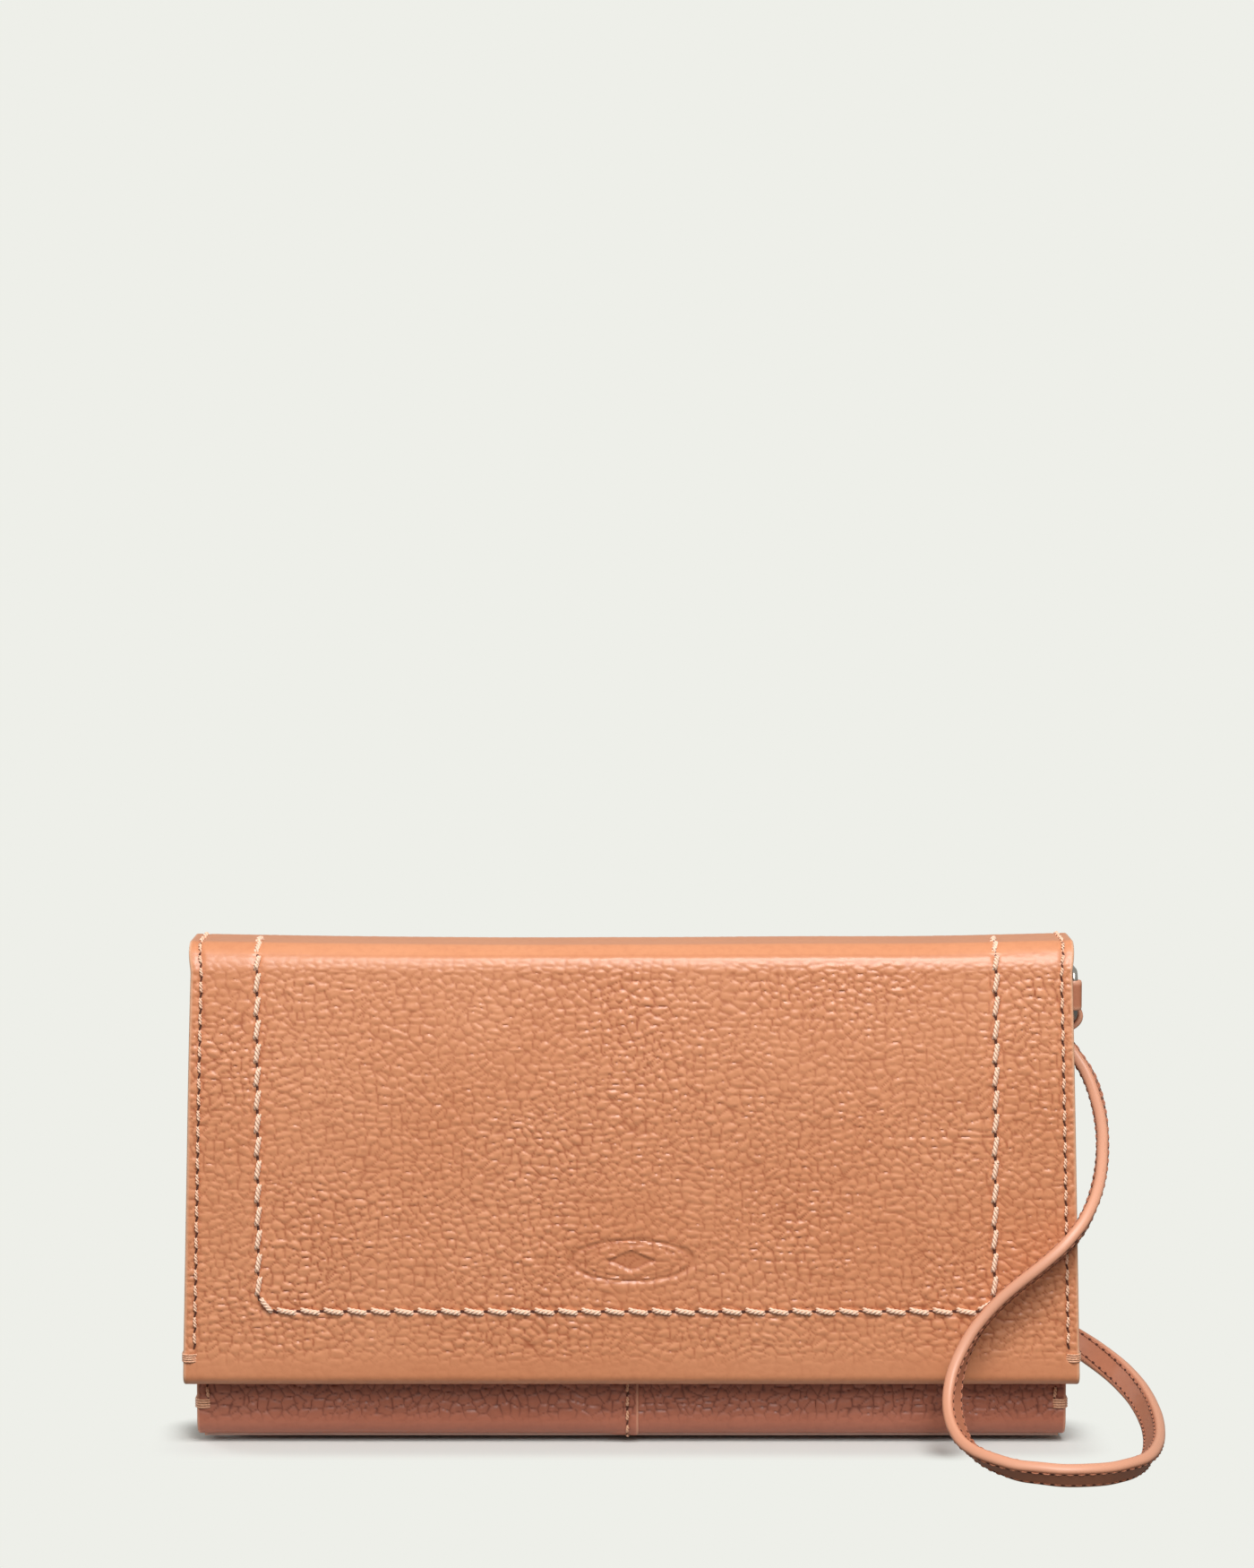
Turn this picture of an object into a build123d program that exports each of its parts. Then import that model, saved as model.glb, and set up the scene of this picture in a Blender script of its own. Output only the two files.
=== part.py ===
from build123d import *
import math
import os

# Long flap wallet with a wrist strap, in millimetres.
# +X runs to the right seen from the front, +Y to the back, +Z up.
# Origin: middle of the footprint, on the surface that the wallet stands on.

# ---- driving dimensions -------------------------------------------------
HEIGHT = 115.0            # floor to the top of the spine
DEPTH = 27.0              # outer face of the flap to outer face of the back
FLAP_BOTTOM_WIDTH = 203.0
FLAP_TOP_WIDTH = 197.4
BACK_TOP_WIDTH = 197.0
BACK_BOTTOM_WIDTH = 196.0
POUCH_WIDTH = 198.0
SHOULDER_R = 7.0          # outer radius of the fold at each edge of the spine
SKIN = 1.4                # outer leather
LINING = 0.8              # inner leather

FLAP_LEAF = 5.2           # thickness of the flap, skin to lining
FLAP_HEM_Z = 28.0         # where the leather turned in under the flap ends
FLAP_ROLL_Z = 17.6        # centre height of the rolled bottom edge
SNAP_Z = 38.0
POUCH_FRONT = -6.1        # front face of the middle leaf
POUCH_BACK = 5.9          # rear face of the middle leaf
POUCH_SKIN = 1.3
FRONT_POCKET_Z = 58.0     # top of the large front pocket
POUCH_TOP = 92.0          # top of the zipped coin compartment
POUCH_CORNER_R = 2.0
INNER_HALF = 97.0         # how far inner walls and linings reach from the middle
SEAM_X = 1.0              # where the two halves of the middle leaf meet
BACK_INNER = 10.6         # inner face of the back leaf
BACK_CORNER_R = 3.0
BACK_LINING_CORNER_R = 2.5
BACK_LINING_FOOT = 0.5
BACK_BOARD_FOOT = 2.0
BACK_BOARD_SETBACK = 5.0  # how much narrower the back board is than the leather
LEAF_TOP = 107.0          # tops of the boards and linings
EDGE_SETBACK = 0.6        # how much narrower the inner layers are than the skin
PADDING_T = 1.4

SNAP_CAP_R = 6.0
SNAP_CAP_T = 0.8
SNAP_BODY_R = 3.9
SNAP_BORE_R = 2.3
SNAP_LINING_HOLE_R = 4.0
STUD_BASE_T = 0.7
STUD_R = 1.6
STUD_LENGTH = 1.5

CARD_STRIP = 0.8
CARD_TOPS = (68.0, 78.0, 88.0)
CARD_COLUMN_WIDTH = 94.0
CARD_COLUMN_X = 49.5     # middle of each column
CARD_FOOT_Z = 4.0
COIN_GUSSET_TOP = 88.0
GUSSET_T = 1.0
NOTE_GUSSET_Z = (6.0, 86.0)
NOTE_FLOOR_Z = (5.0, 6.0)

COIL_Y = 1.5              # the zip's closing line
COIL_ROW = 0.9
COIL_Z = (91.0, 92.6)
TAPE_T = 0.6
ZIP_HALF = 90.0
TAPE_HALF = 95.0
STOP_LENGTH = 2.0
STOP_EXTRA = 0.4          # how far a stop stands above the coil
SLIDER_X = 82.0
SLIDER_LENGTH = 9.0
PULL_LENGTH = 14.0
PULL_PIN_R = 0.6
PULL_EYE_R = 1.2
PULL_PLATE = (5.0, 1.2)   # width and thickness of the pull
PULL_PLATE_CORNER_R = 1.6
PULL_NECK = 6.0
PULL_EYE_WIDTH = 1.4
SLIDER_HALF = 2.4         # half width of the slider
SLIDER_GAP = 1.3          # half width of the slot between the slider's flanges
SLIDER_CLEAR = 0.3        # room between the slider and the coil and tape
SLIDER_PLATE_T = 1.2
EAR = (1.0, 2.0)          # inner and outer face of each ear, from the zip's line
EAR_HALF = 1.8
EAR_RISE = 1.6
PIN_CLEAR = 0.05
PULL_PIN_LENGTH = 4.4

RING_PIN = (101.2, 11.75) # vertical bar of the strap ring
RING_WIRE_R = 0.9
RING_REACH = 11.0
RING_Z = (95.0, 105.5)
TAB_Z = (96.8, 103.7)
TAB_T = 0.7
TAB_ROOT_X = 96.3         # where the tab goes in between the layers of the back leaf
TAB_WALL = 1.4
TAB_CLEAR = 0.2
RING_CORNER_R = 2.0
STRAP_WIDTH = 6.3
STRAP_END_X = (93.2, 106.4)
STRAP_END_Y = (14.3, 20.7)
STRAP_END_Z = (89.5, 98.0)
RADIUS_SHARE = 0.45       # share of the shorter run that a strap bend may take up

FRONT = -DEPTH / 2
BACK = DEPTH / 2
SPINE_HALF = DEPTH / 2 - SHOULDER_R       # centre of each shoulder's arc
SHOULDER_Z = HEIGHT - SHOULDER_R
MID_R = SHOULDER_R - SKIN / 2
FOLD = MID_R * math.sin(math.radians(45))  # 45 degree point of a shoulder

os.makedirs("parts", exist_ok=True)


def save(part, label):
    part.label = label
    export_step(part, "parts/" + label + ".step")


def box(x, y, z):
    """A block given by its low and high value along each axis."""
    middle = ((x[0] + x[1]) / 2, (y[0] + y[1]) / 2, (z[0] + z[1]) / 2)
    with BuildPart() as block:
        with Locations(middle):
            Box(x[1] - x[0], y[1] - y[0], z[1] - z[0])
    return block.part


def panel(y, z, low_width, high_width, corner=0.0):
    """An upright sheet between two depths, tapered in width, round at its lower corners."""
    with BuildPart() as sheet:
        with BuildSketch(Plane.XZ.offset(-y[1])):
            with BuildLine():
                Polyline(
                    (-low_width / 2, z[0]),
                    (low_width / 2, z[0]),
                    (high_width / 2, z[1]),
                    (-high_width / 2, z[1]),
                    close=True,
                )
            outline = make_face()
            if corner > 0:
                fillet(outline.vertices().group_by(Axis.Y)[0], radius=corner)
        extrude(amount=y[1] - y[0])
    return sheet.part


# ---- flap: turned leather, padding, board, lining, snap socket ----------
flap_mid = FRONT + SKIN / 2
flap_inner_mid = FRONT + FLAP_LEAF - SKIN / 2
roll_r = (flap_inner_mid - flap_mid) / 2
with BuildPart() as flap_leather:
    with BuildSketch(Plane.YZ.offset(-FLAP_BOTTOM_WIDTH / 2)):
        with BuildLine() as flap_path:
            CenterArc((-SPINE_HALF, SHOULDER_Z), MID_R, 135, 45)
            Line((flap_mid, SHOULDER_Z), (flap_mid, FLAP_ROLL_Z))
            CenterArc((flap_mid + roll_r, FLAP_ROLL_Z), roll_r, 180, 180)
            Line((flap_inner_mid, FLAP_ROLL_Z), (flap_inner_mid, FLAP_HEM_Z))
        trace(flap_path.line, SKIN)
    extrude(amount=FLAP_BOTTOM_WIDTH)
    with BuildSketch(Plane.XZ.offset(-DEPTH)):
        with BuildLine():
            Polyline(
                (-FLAP_BOTTOM_WIDTH / 2, 0),
                (FLAP_BOTTOM_WIDTH / 2, 0),
                (FLAP_TOP_WIDTH / 2, HEIGHT + 5),
                (-FLAP_TOP_WIDTH / 2, HEIGHT + 5),
                close=True,
            )
        make_face()
    extrude(amount=2 * DEPTH, mode=Mode.INTERSECT)
save(flap_leather.part, "flap_leather")

padding_y = (FRONT + SKIN, FRONT + SKIN + PADDING_T)
flap_back = FRONT + FLAP_LEAF
inside_z = (FLAP_ROLL_Z, LEAF_TOP)
save(panel(padding_y, inside_z, FLAP_BOTTOM_WIDTH - EDGE_SETBACK, FLAP_TOP_WIDTH - EDGE_SETBACK), "flap_padding")
hem_inner = flap_back - SKIN
board_y = (padding_y[1], hem_inner)
save(panel(board_y, inside_z, FLAP_BOTTOM_WIDTH - EDGE_SETBACK, FLAP_TOP_WIDTH - EDGE_SETBACK), "flap_board")
with BuildPart() as flap_lining:
    lining_widths = (FLAP_BOTTOM_WIDTH - EDGE_SETBACK, FLAP_TOP_WIDTH - EDGE_SETBACK)
    add(panel((hem_inner, flap_back), (FLAP_HEM_Z, LEAF_TOP), *lining_widths))
    with BuildSketch(Plane.XZ.offset(-flap_back)):
        with Locations((0, SNAP_Z)):
            Circle(SNAP_LINING_HOLE_R)
    extrude(amount=SKIN, mode=Mode.SUBTRACT)
save(flap_lining.part, "flap_lining")

SOCKET_FACE = flap_back + SNAP_CAP_T
with BuildPart() as snap_socket:
    with BuildSketch(Plane.XZ.offset(-SOCKET_FACE)):
        with Locations((0, SNAP_Z)):
            Circle(SNAP_CAP_R)
            Circle(SNAP_BORE_R, mode=Mode.SUBTRACT)
    extrude(amount=SNAP_CAP_T)
    with BuildSketch(Plane.XZ.offset(-flap_back)):
        with Locations((0, SNAP_Z)):
            Circle(SNAP_BODY_R)
            Circle(SNAP_BORE_R, mode=Mode.SUBTRACT)
    extrude(amount=SKIN)
save(snap_socket.part, "snap_socket")

# ---- spine --------------------------------------------------------------
with BuildPart() as spine_leather:
    with BuildSketch(Plane.YZ.offset(-BACK_TOP_WIDTH / 2)):
        with BuildLine() as spine_path:
            CenterArc((SPINE_HALF, SHOULDER_Z), MID_R, 45, 45)
            Line((SPINE_HALF, HEIGHT - SKIN / 2), (-SPINE_HALF, HEIGHT - SKIN / 2))
            CenterArc((-SPINE_HALF, SHOULDER_Z), MID_R, 90, 45)
        trace(spine_path.line, SKIN)
    extrude(amount=BACK_TOP_WIDTH)
save(spine_leather.part, "spine_leather")
spine_lining_z = (HEIGHT - SKIN - LINING, HEIGHT - SKIN)
save(box((-INNER_HALF, INNER_HALF), (-SPINE_HALF, SPINE_HALF), spine_lining_z), "spine_lining")

# ---- back leaf ----------------------------------------------------------
back_mid = BACK - SKIN / 2
with BuildPart() as back_leather:
    with BuildSketch(Plane.YZ.offset(-BACK_TOP_WIDTH / 2)):
        with BuildLine() as back_path:
            CenterArc((SPINE_HALF, SHOULDER_Z), MID_R, 0, 45)
            Line((back_mid, SHOULDER_Z), (back_mid, 0))
        trace(back_path.line, SKIN)
    extrude(amount=BACK_TOP_WIDTH)
    with BuildSketch(Plane.XZ.offset(-DEPTH)):
        with BuildLine():
            Polyline(
                (-BACK_BOTTOM_WIDTH / 2, 0),
                (BACK_BOTTOM_WIDTH / 2, 0),
                (BACK_TOP_WIDTH / 2, HEIGHT),
                (-BACK_TOP_WIDTH / 2, HEIGHT),
                close=True,
            )
        back_outline = make_face()
        fillet(back_outline.vertices().group_by(Axis.Y)[0], radius=BACK_CORNER_R)
    extrude(amount=2 * DEPTH, mode=Mode.INTERSECT)
save(back_leather.part, "back_leather")
back_board_y = (BACK_INNER + LINING, BACK - SKIN)
board_widths = (BACK_BOTTOM_WIDTH - BACK_BOARD_SETBACK, BACK_TOP_WIDTH - BACK_BOARD_SETBACK)
save(panel(back_board_y, (BACK_BOARD_FOOT, LEAF_TOP), *board_widths), "back_board")
lining_y = (BACK_INNER, BACK_INNER + LINING)
lining_widths = (BACK_BOTTOM_WIDTH - EDGE_SETBACK, BACK_TOP_WIDTH - EDGE_SETBACK)
save(panel(lining_y, (BACK_LINING_FOOT, LEAF_TOP), *lining_widths, BACK_LINING_CORNER_R), "back_lining")

# ---- middle leaf: two folded halves that meet at a centre seam -----------
def pouch_half(x):
    """One half of the folded shell: low front wall, floor and high rear wall."""
    with BuildPart() as half:
        with BuildSketch(Plane.YZ.offset(x[0])):
            with BuildLine():
                Polyline(
                    (POUCH_FRONT, FRONT_POCKET_Z),
                    (POUCH_FRONT, 0),
                    (POUCH_BACK, 0),
                    (POUCH_BACK, POUCH_TOP),
                    (POUCH_BACK - POUCH_SKIN, POUCH_TOP),
                    (POUCH_BACK - POUCH_SKIN, POUCH_SKIN),
                    (POUCH_FRONT + POUCH_SKIN, POUCH_SKIN),
                    (POUCH_FRONT + POUCH_SKIN, FRONT_POCKET_Z),
                    close=True,
                )
            shell = make_face()
            fillet(shell.vertices().group_by(Axis.Y)[0], radius=POUCH_CORNER_R)
        extrude(amount=x[1] - x[0])
    return half.part


save(pouch_half((-POUCH_WIDTH / 2, SEAM_X)), "pouch_left")
save(pouch_half((SEAM_X, POUCH_WIDTH / 2)), "pouch_right")

card_front = POUCH_FRONT + POUCH_SKIN
for side, side_name in ((-1, "left"), (1, "right")):
    column = sorted((side * (CARD_COLUMN_X - CARD_COLUMN_WIDTH / 2), side * (CARD_COLUMN_X + CARD_COLUMN_WIDTH / 2)))
    for row, top in enumerate(CARD_TOPS):
        strip_y = (card_front + row * CARD_STRIP, card_front + (row + 1) * CARD_STRIP)
        save(box(column, strip_y, (CARD_FOOT_Z, top)), "card_pocket_" + side_name + "_" + str(row + 1))

wall_front = card_front + len(CARD_TOPS) * CARD_STRIP
coin_front = wall_front + LINING
coin_back = POUCH_BACK - POUCH_SKIN
coin_x = (-INNER_HALF, INNER_HALF)
save(box(coin_x, (wall_front, coin_front), (POUCH_SKIN, POUCH_TOP)), "coin_wall")
for side, side_name in ((-1, "left"), (1, "right")):
    gusset_x = sorted((side * INNER_HALF, side * (INNER_HALF - GUSSET_T)))
    save(box(gusset_x, (coin_front, coin_back), (POUCH_SKIN, COIN_GUSSET_TOP)), "coin_gusset_" + side_name)

# ---- snap stud on the front of the middle leaf ---------------------------
with BuildPart() as snap_stud:
    with BuildSketch(Plane.XZ.offset(-POUCH_FRONT)):
        with Locations((0, SNAP_Z)):
            Circle(SNAP_CAP_R)
    extrude(amount=STUD_BASE_T)
    with BuildSketch(Plane.XZ.offset(-POUCH_FRONT + STUD_BASE_T)):
        with Locations((0, SNAP_Z)):
            Circle(STUD_R)
    extrude(amount=STUD_LENGTH)
save(snap_stud.part, "snap_stud")

# ---- zip: tapes, coil, stops, slider and pull ----------------------------
coil_front = (COIL_Y - COIL_ROW, COIL_Y)
coil_rear = (COIL_Y, COIL_Y + COIL_ROW)
tape_z = (POUCH_TOP - TAPE_T, POUCH_TOP)
zip_x = (-ZIP_HALF, ZIP_HALF)
tape_x = (-TAPE_HALF, TAPE_HALF)
save(box(tape_x, (coin_front, coil_front[0]), tape_z), "zip_tape_front")
save(box(tape_x, (coil_rear[1], coin_back), tape_z), "zip_tape_rear")
save(box(zip_x, coil_front, COIL_Z), "zip_coil_front")
save(box(zip_x, coil_rear, COIL_Z), "zip_coil_rear")
stop_y = (coil_front[0], coil_rear[1])
stop_z = (COIL_Z[0], COIL_Z[1] + STOP_EXTRA)
for place, stop_name in ((ZIP_HALF, "zip_stop_closed_end"), (-ZIP_HALF - STOP_LENGTH, "zip_stop_open_end")):
    save(box((place, place + STOP_LENGTH), stop_y, stop_z), stop_name)

slider_x = (SLIDER_X - SLIDER_LENGTH / 2, SLIDER_X + SLIDER_LENGTH / 2)
slider_foot = COIL_Z[1] + SLIDER_CLEAR
SLIDER_TOP = slider_foot + SLIDER_PLATE_T
PULL_AXIS_Z = SLIDER_TOP + SLIDER_GAP
with BuildPart() as zip_slider:
    add(box(slider_x, (COIL_Y - SLIDER_HALF, COIL_Y + SLIDER_HALF), (slider_foot, SLIDER_TOP)))
    for side in (-1, 1):
        flange = sorted((COIL_Y + side * SLIDER_GAP, COIL_Y + side * SLIDER_HALF))
        add(box(slider_x, flange, (POUCH_TOP + SLIDER_CLEAR, slider_foot)))
        ear = sorted((COIL_Y + side * EAR[0], COIL_Y + side * EAR[1]))
        add(box((SLIDER_X - EAR_HALF, SLIDER_X + EAR_HALF), ear, (SLIDER_TOP, PULL_AXIS_Z + EAR_RISE)))
    with BuildSketch(Plane.XZ.offset(-COIL_Y - PULL_PIN_LENGTH / 2)):
        with Locations((SLIDER_X, PULL_AXIS_Z)):
            Circle(PULL_PIN_R + PIN_CLEAR)
    extrude(amount=PULL_PIN_LENGTH, mode=Mode.SUBTRACT)
save(zip_slider.part, "zip_slider")
with BuildPart() as zip_pin:
    with BuildSketch(Plane.XZ.offset(-COIL_Y - PULL_PIN_LENGTH / 2)):
        with Locations((SLIDER_X, PULL_AXIS_Z)):
            Circle(PULL_PIN_R)
    extrude(amount=PULL_PIN_LENGTH)
save(zip_pin.part, "zip_pull_pin")
with BuildPart() as zip_pull:
    with BuildSketch(Plane.XZ.offset(-COIL_Y - PULL_EYE_WIDTH / 2)):
        with Locations((SLIDER_X, PULL_AXIS_Z)):
            Circle(PULL_EYE_R)
        with Locations((SLIDER_X - PULL_NECK / 2, PULL_AXIS_Z)):
            Rectangle(PULL_NECK, PULL_PLATE[1])
        with Locations((SLIDER_X, PULL_AXIS_Z)):
            Circle(PULL_PIN_R + 2 * PIN_CLEAR, mode=Mode.SUBTRACT)
    extrude(amount=PULL_EYE_WIDTH)
    with BuildSketch(Plane.XY.offset(PULL_AXIS_Z - PULL_PLATE[1] / 2)):
        with Locations((SLIDER_X - PULL_LENGTH / 2 - 2.0, COIL_Y)):
            RectangleRounded(PULL_LENGTH - 4.0, PULL_PLATE[0], PULL_PLATE_CORNER_R)
    extrude(amount=PULL_PLATE[1])
save(zip_pull.part, "zip_pull")

# ---- banknote compartment between middle and back leaf -------------------
note_y = (POUCH_BACK, BACK_INNER)
for side, side_name in ((-1, "left"), (1, "right")):
    gusset_x = sorted((side * INNER_HALF, side * (INNER_HALF - GUSSET_T)))
    save(box(gusset_x, note_y, NOTE_GUSSET_Z), "note_gusset_" + side_name)
note_x = (GUSSET_T - INNER_HALF, INNER_HALF - GUSSET_T)
save(box(note_x, note_y, NOTE_FLOOR_Z), "note_floor")

# ---- strap ring and its tab ----------------------------------------------
with BuildPart() as ring_tab:
    with BuildSketch(Plane.XY.offset(TAB_Z[0])):
        with Locations(RING_PIN):
            Circle(RING_WIRE_R + TAB_WALL)
        tab_length = RING_PIN[0] - TAB_ROOT_X
        with Locations((RING_PIN[0] - tab_length / 2, RING_PIN[1])):
            Rectangle(tab_length, TAB_T)
        with Locations(RING_PIN):
            Circle(RING_WIRE_R + TAB_CLEAR, mode=Mode.SUBTRACT)
    extrude(amount=TAB_Z[1] - TAB_Z[0])
save(ring_tab.part, "ring_tab")

ring_middle = (RING_PIN[1] + RING_REACH / 2, (RING_Z[0] + RING_Z[1]) / 2)
with BuildSketch(Plane.YZ.offset(RING_PIN[0])) as ring_outline:
    with Locations(ring_middle):
        RectangleRounded(RING_REACH, RING_Z[1] - RING_Z[0], RING_CORNER_R)
ring_path = ring_outline.sketch.face().outer_wire()
with BuildPart() as strap_ring:
    with BuildSketch(Plane(origin=ring_path @ 0, z_dir=ring_path % 0)):
        Circle(RING_WIRE_R)
    sweep(path=ring_path)
save(strap_ring.part, "strap_ring")

# ---- wrist strap: a flat sewn strap, one loop from the ring and back ------
STRAP_ROUTE = [
    (103.1, 17.5, 89.5), (103.1, 17.5, 80.8), (105.2, 13.6, 73.2), (107.2, 6.2, 66.8),
    (108.0, -3.0, 61.4), (107.4, -12.2, 56.6), (103.0, -19.4, 50.6), (94.8, -21.8, 44.2),
    (86.0, -21.6, 37.8), (78.2, -21.8, 30.2), (72.8, -23.8, 21.0), (71.0, -29.8, 12.2),
    (73.6, -38.8, 6.2), (81.0, -46.8, 3.6), (92.2, -50.8, 3.3), (103.8, -48.6, 3.4),
    (112.4, -40.2, 3.9), (116.4, -28.6, 4.8), (117.8, -16.0, 6.6), (116.8, -3.4, 9.2),
    (112.4, 8.2, 12.0), (104.8, 17.4, 15.8), (95.2, 22.6, 21.2), (87.2, 24.2, 29.4),
    (82.4, 23.6, 39.8), (83.2, 22.2, 50.8), (87.0, 20.5, 60.9), (91.9, 18.8, 70.6),
    (96.5, 17.5, 80.2), (96.5, 17.5, 89.5),
]
with BuildPart() as strap_end:
    add(box(STRAP_END_X, STRAP_END_Y, STRAP_END_Z))
    with BuildSketch(Plane.XZ.offset(-10)):
        with Locations((RING_PIN[0], RING_Z[0])):
            Circle(RING_WIRE_R + 0.1)
    extrude(amount=-20, mode=Mode.SUBTRACT)
save(strap_end.part, "strap_end")


def route_radii(points):
    """The largest arcs that the runs on both sides of each corner leave room for."""
    radii = []
    for before, corner, after in zip(points, points[1:], points[2:]):
        arriving = Vector(corner) - Vector(before)
        leaving = Vector(after) - Vector(corner)
        turn = math.radians(arriving.get_angle(leaving))
        shorter = min(arriving.length, leaving.length)
        radii.append(RADIUS_SHARE * shorter / math.tan(turn / 2))
    return radii


strap_radii = route_radii(STRAP_ROUTE)
print("strap radii", [round(radius, 1) for radius in strap_radii])
with BuildPart() as wrist_strap:
    with BuildLine() as strap_path:
        FilletPolyline(*STRAP_ROUTE, radius=strap_radii)
    with BuildSketch(Plane(origin=strap_path.line @ 0, z_dir=strap_path.line % 0)):
        Circle(STRAP_WIDTH / 2)
    sweep()
save(wrist_strap.part, "wrist_strap")
strap_length = strap_path.wires()[0].length
strap_volume = math.pi * (STRAP_WIDTH / 2) ** 2 * strap_length
print("strap length", round(strap_length, 1))
print("strap volume over section times length", round(wrist_strap.part.volume / strap_volume, 4))
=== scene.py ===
import math

import bmesh
import bpy
import numpy as np
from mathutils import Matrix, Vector


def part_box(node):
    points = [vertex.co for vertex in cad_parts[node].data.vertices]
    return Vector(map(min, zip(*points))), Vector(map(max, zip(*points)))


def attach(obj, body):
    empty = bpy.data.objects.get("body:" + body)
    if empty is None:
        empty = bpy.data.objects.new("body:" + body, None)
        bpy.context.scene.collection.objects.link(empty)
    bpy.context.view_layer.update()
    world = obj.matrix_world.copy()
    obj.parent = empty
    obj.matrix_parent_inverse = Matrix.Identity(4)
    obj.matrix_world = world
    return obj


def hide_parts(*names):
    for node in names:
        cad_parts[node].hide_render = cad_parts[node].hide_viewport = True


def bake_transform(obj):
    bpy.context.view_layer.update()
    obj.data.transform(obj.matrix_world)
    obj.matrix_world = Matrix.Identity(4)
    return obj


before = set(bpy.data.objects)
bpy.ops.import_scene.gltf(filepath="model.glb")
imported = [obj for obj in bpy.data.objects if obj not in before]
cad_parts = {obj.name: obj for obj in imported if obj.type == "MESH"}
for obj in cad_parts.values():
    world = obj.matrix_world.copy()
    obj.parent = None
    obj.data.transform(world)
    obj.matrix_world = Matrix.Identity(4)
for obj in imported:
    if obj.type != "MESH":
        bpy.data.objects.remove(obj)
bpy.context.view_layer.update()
MM = 0.001

# ---- sizes from the frame ------------------------------------------------
FLAP_LOW, FLAP_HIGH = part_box("flap_leather")
SPINE_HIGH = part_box("spine_leather")[1]
BACK_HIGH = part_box("back_leather")[1]
POUCH_LOW, POUCH_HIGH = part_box("pouch_left")
TOP_Z = SPINE_HIGH[2]
FRONT_Y = FLAP_LOW[1]
BACK_Y = BACK_HIGH[1]
FLAP_BACK_Y = FLAP_HIGH[1]
SHOULDER_R = 7.0 * MM
SKIN = 1.4 * MM
ROLL_R = (FLAP_BACK_Y - FRONT_Y) / 2
ROLL_Z = FLAP_LOW[2] + ROLL_R
HEM_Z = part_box("flap_lining")[0][2]
SHOULDER_Z = TOP_Z - SHOULDER_R
SPINE_HALF = BACK_Y - SHOULDER_R

# Half widths of the leather at each height.
FLAP_LOW_HALF = FLAP_HIGH[0] - 0.4 * MM
TOP_HALF = SPINE_HIGH[0] - 0.2 * MM
BACK_LOW_HALF = 98.0 * MM

STITCH_INSET = 2.5 * MM
GRAIN_HEIGHT = 0.42 * MM
EDGE_PITCH = 3.6 * MM
EDGE_THREAD_R = 0.40 * MM
EDGE_SLANT = 0.25 * MM
HEAVY_PITCH = 5.2 * MM
TACK_Z = 21.6 * MM
HEAVY_LEFT = -83.6 * MM
HEAVY_RIGHT = 81.4 * MM
HEAVY_Z = 32.3 * MM
HEAVY_CORNER = 3.5 * MM
MARK_Z = 43.5 * MM
GROOVE = 0.65 * MM
FACE_DEPTH = 3.2 * MM
LEAN_Z = 76 * MM
FACE_LEAN = 1.5 * MM
CORNER_FLARE = 0.55 * MM


# ---- small numeric tools -------------------------------------------------
def smooth(low, high, value):
    t = np.clip((value - low) / (high - low), 0.0, 1.0)
    return t * t * (3 - 2 * t)


def bell(value, width):
    """1 where value is 0, falling to nothing over about twice the width."""
    return np.exp(-((value / width) ** 2))


def fixed(value):
    """A half width or an edge that is the same at every height."""
    return lambda z: value + 0 * z


def sample(places, s, rows):
    """Rows of numbers read off between the places s where they are known."""
    return np.stack([np.interp(places, s, rows[:, k]) for k in range(rows.shape[1])], 1)


def unit(vectors):
    return vectors / np.linalg.norm(vectors, axis=-1, keepdims=True)


def soft_noise(x, y, seed):
    """Smooth noise from -1 to 1 with one bump for each unit of x and y."""
    table = np.random.RandomState(seed).uniform(-1, 1, (64, 64))
    ix, iy = np.floor(x).astype(int), np.floor(y).astype(int)
    fx, fy = smooth(0, 1, x - ix), smooth(0, 1, y - iy)
    value = 0
    for dx in (0, 1):
        for dy in (0, 1):
            weight = (fx if dx else 1 - fx) * (fy if dy else 1 - fy)
            value = value + weight * table[(ix + dx) % 64, (iy + dy) % 64]
    return value


def cell_edges(x, y, seed):
    """Distance from the nearest border of a jittered cell pattern, and the cell's own random number."""
    state = np.random.RandomState(seed)
    jitter = state.uniform(0.08, 0.92, (128, 128, 2))
    tint = state.uniform(-1, 1, (128, 128))
    ix, iy = np.floor(x).astype(int), np.floor(y).astype(int)
    first = np.full(x.shape, 9.0)
    second = np.full(x.shape, 9.0)
    owner = np.zeros(x.shape)
    for dx in (-1, 0, 1):
        for dy in (-1, 0, 1):
            cx, cy = (ix + dx) % 128, (iy + dy) % 128
            px = ix + dx + jitter[cx, cy, 0]
            py = iy + dy + jitter[cx, cy, 1]
            distance = np.hypot(x - px, y - py)
            nearer = distance < first
            second = np.where(nearer, first, np.minimum(second, distance))
            owner = np.where(nearer, tint[cx, cy], owner)
            first = np.where(nearer, distance, first)
    return second - first, owner


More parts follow.
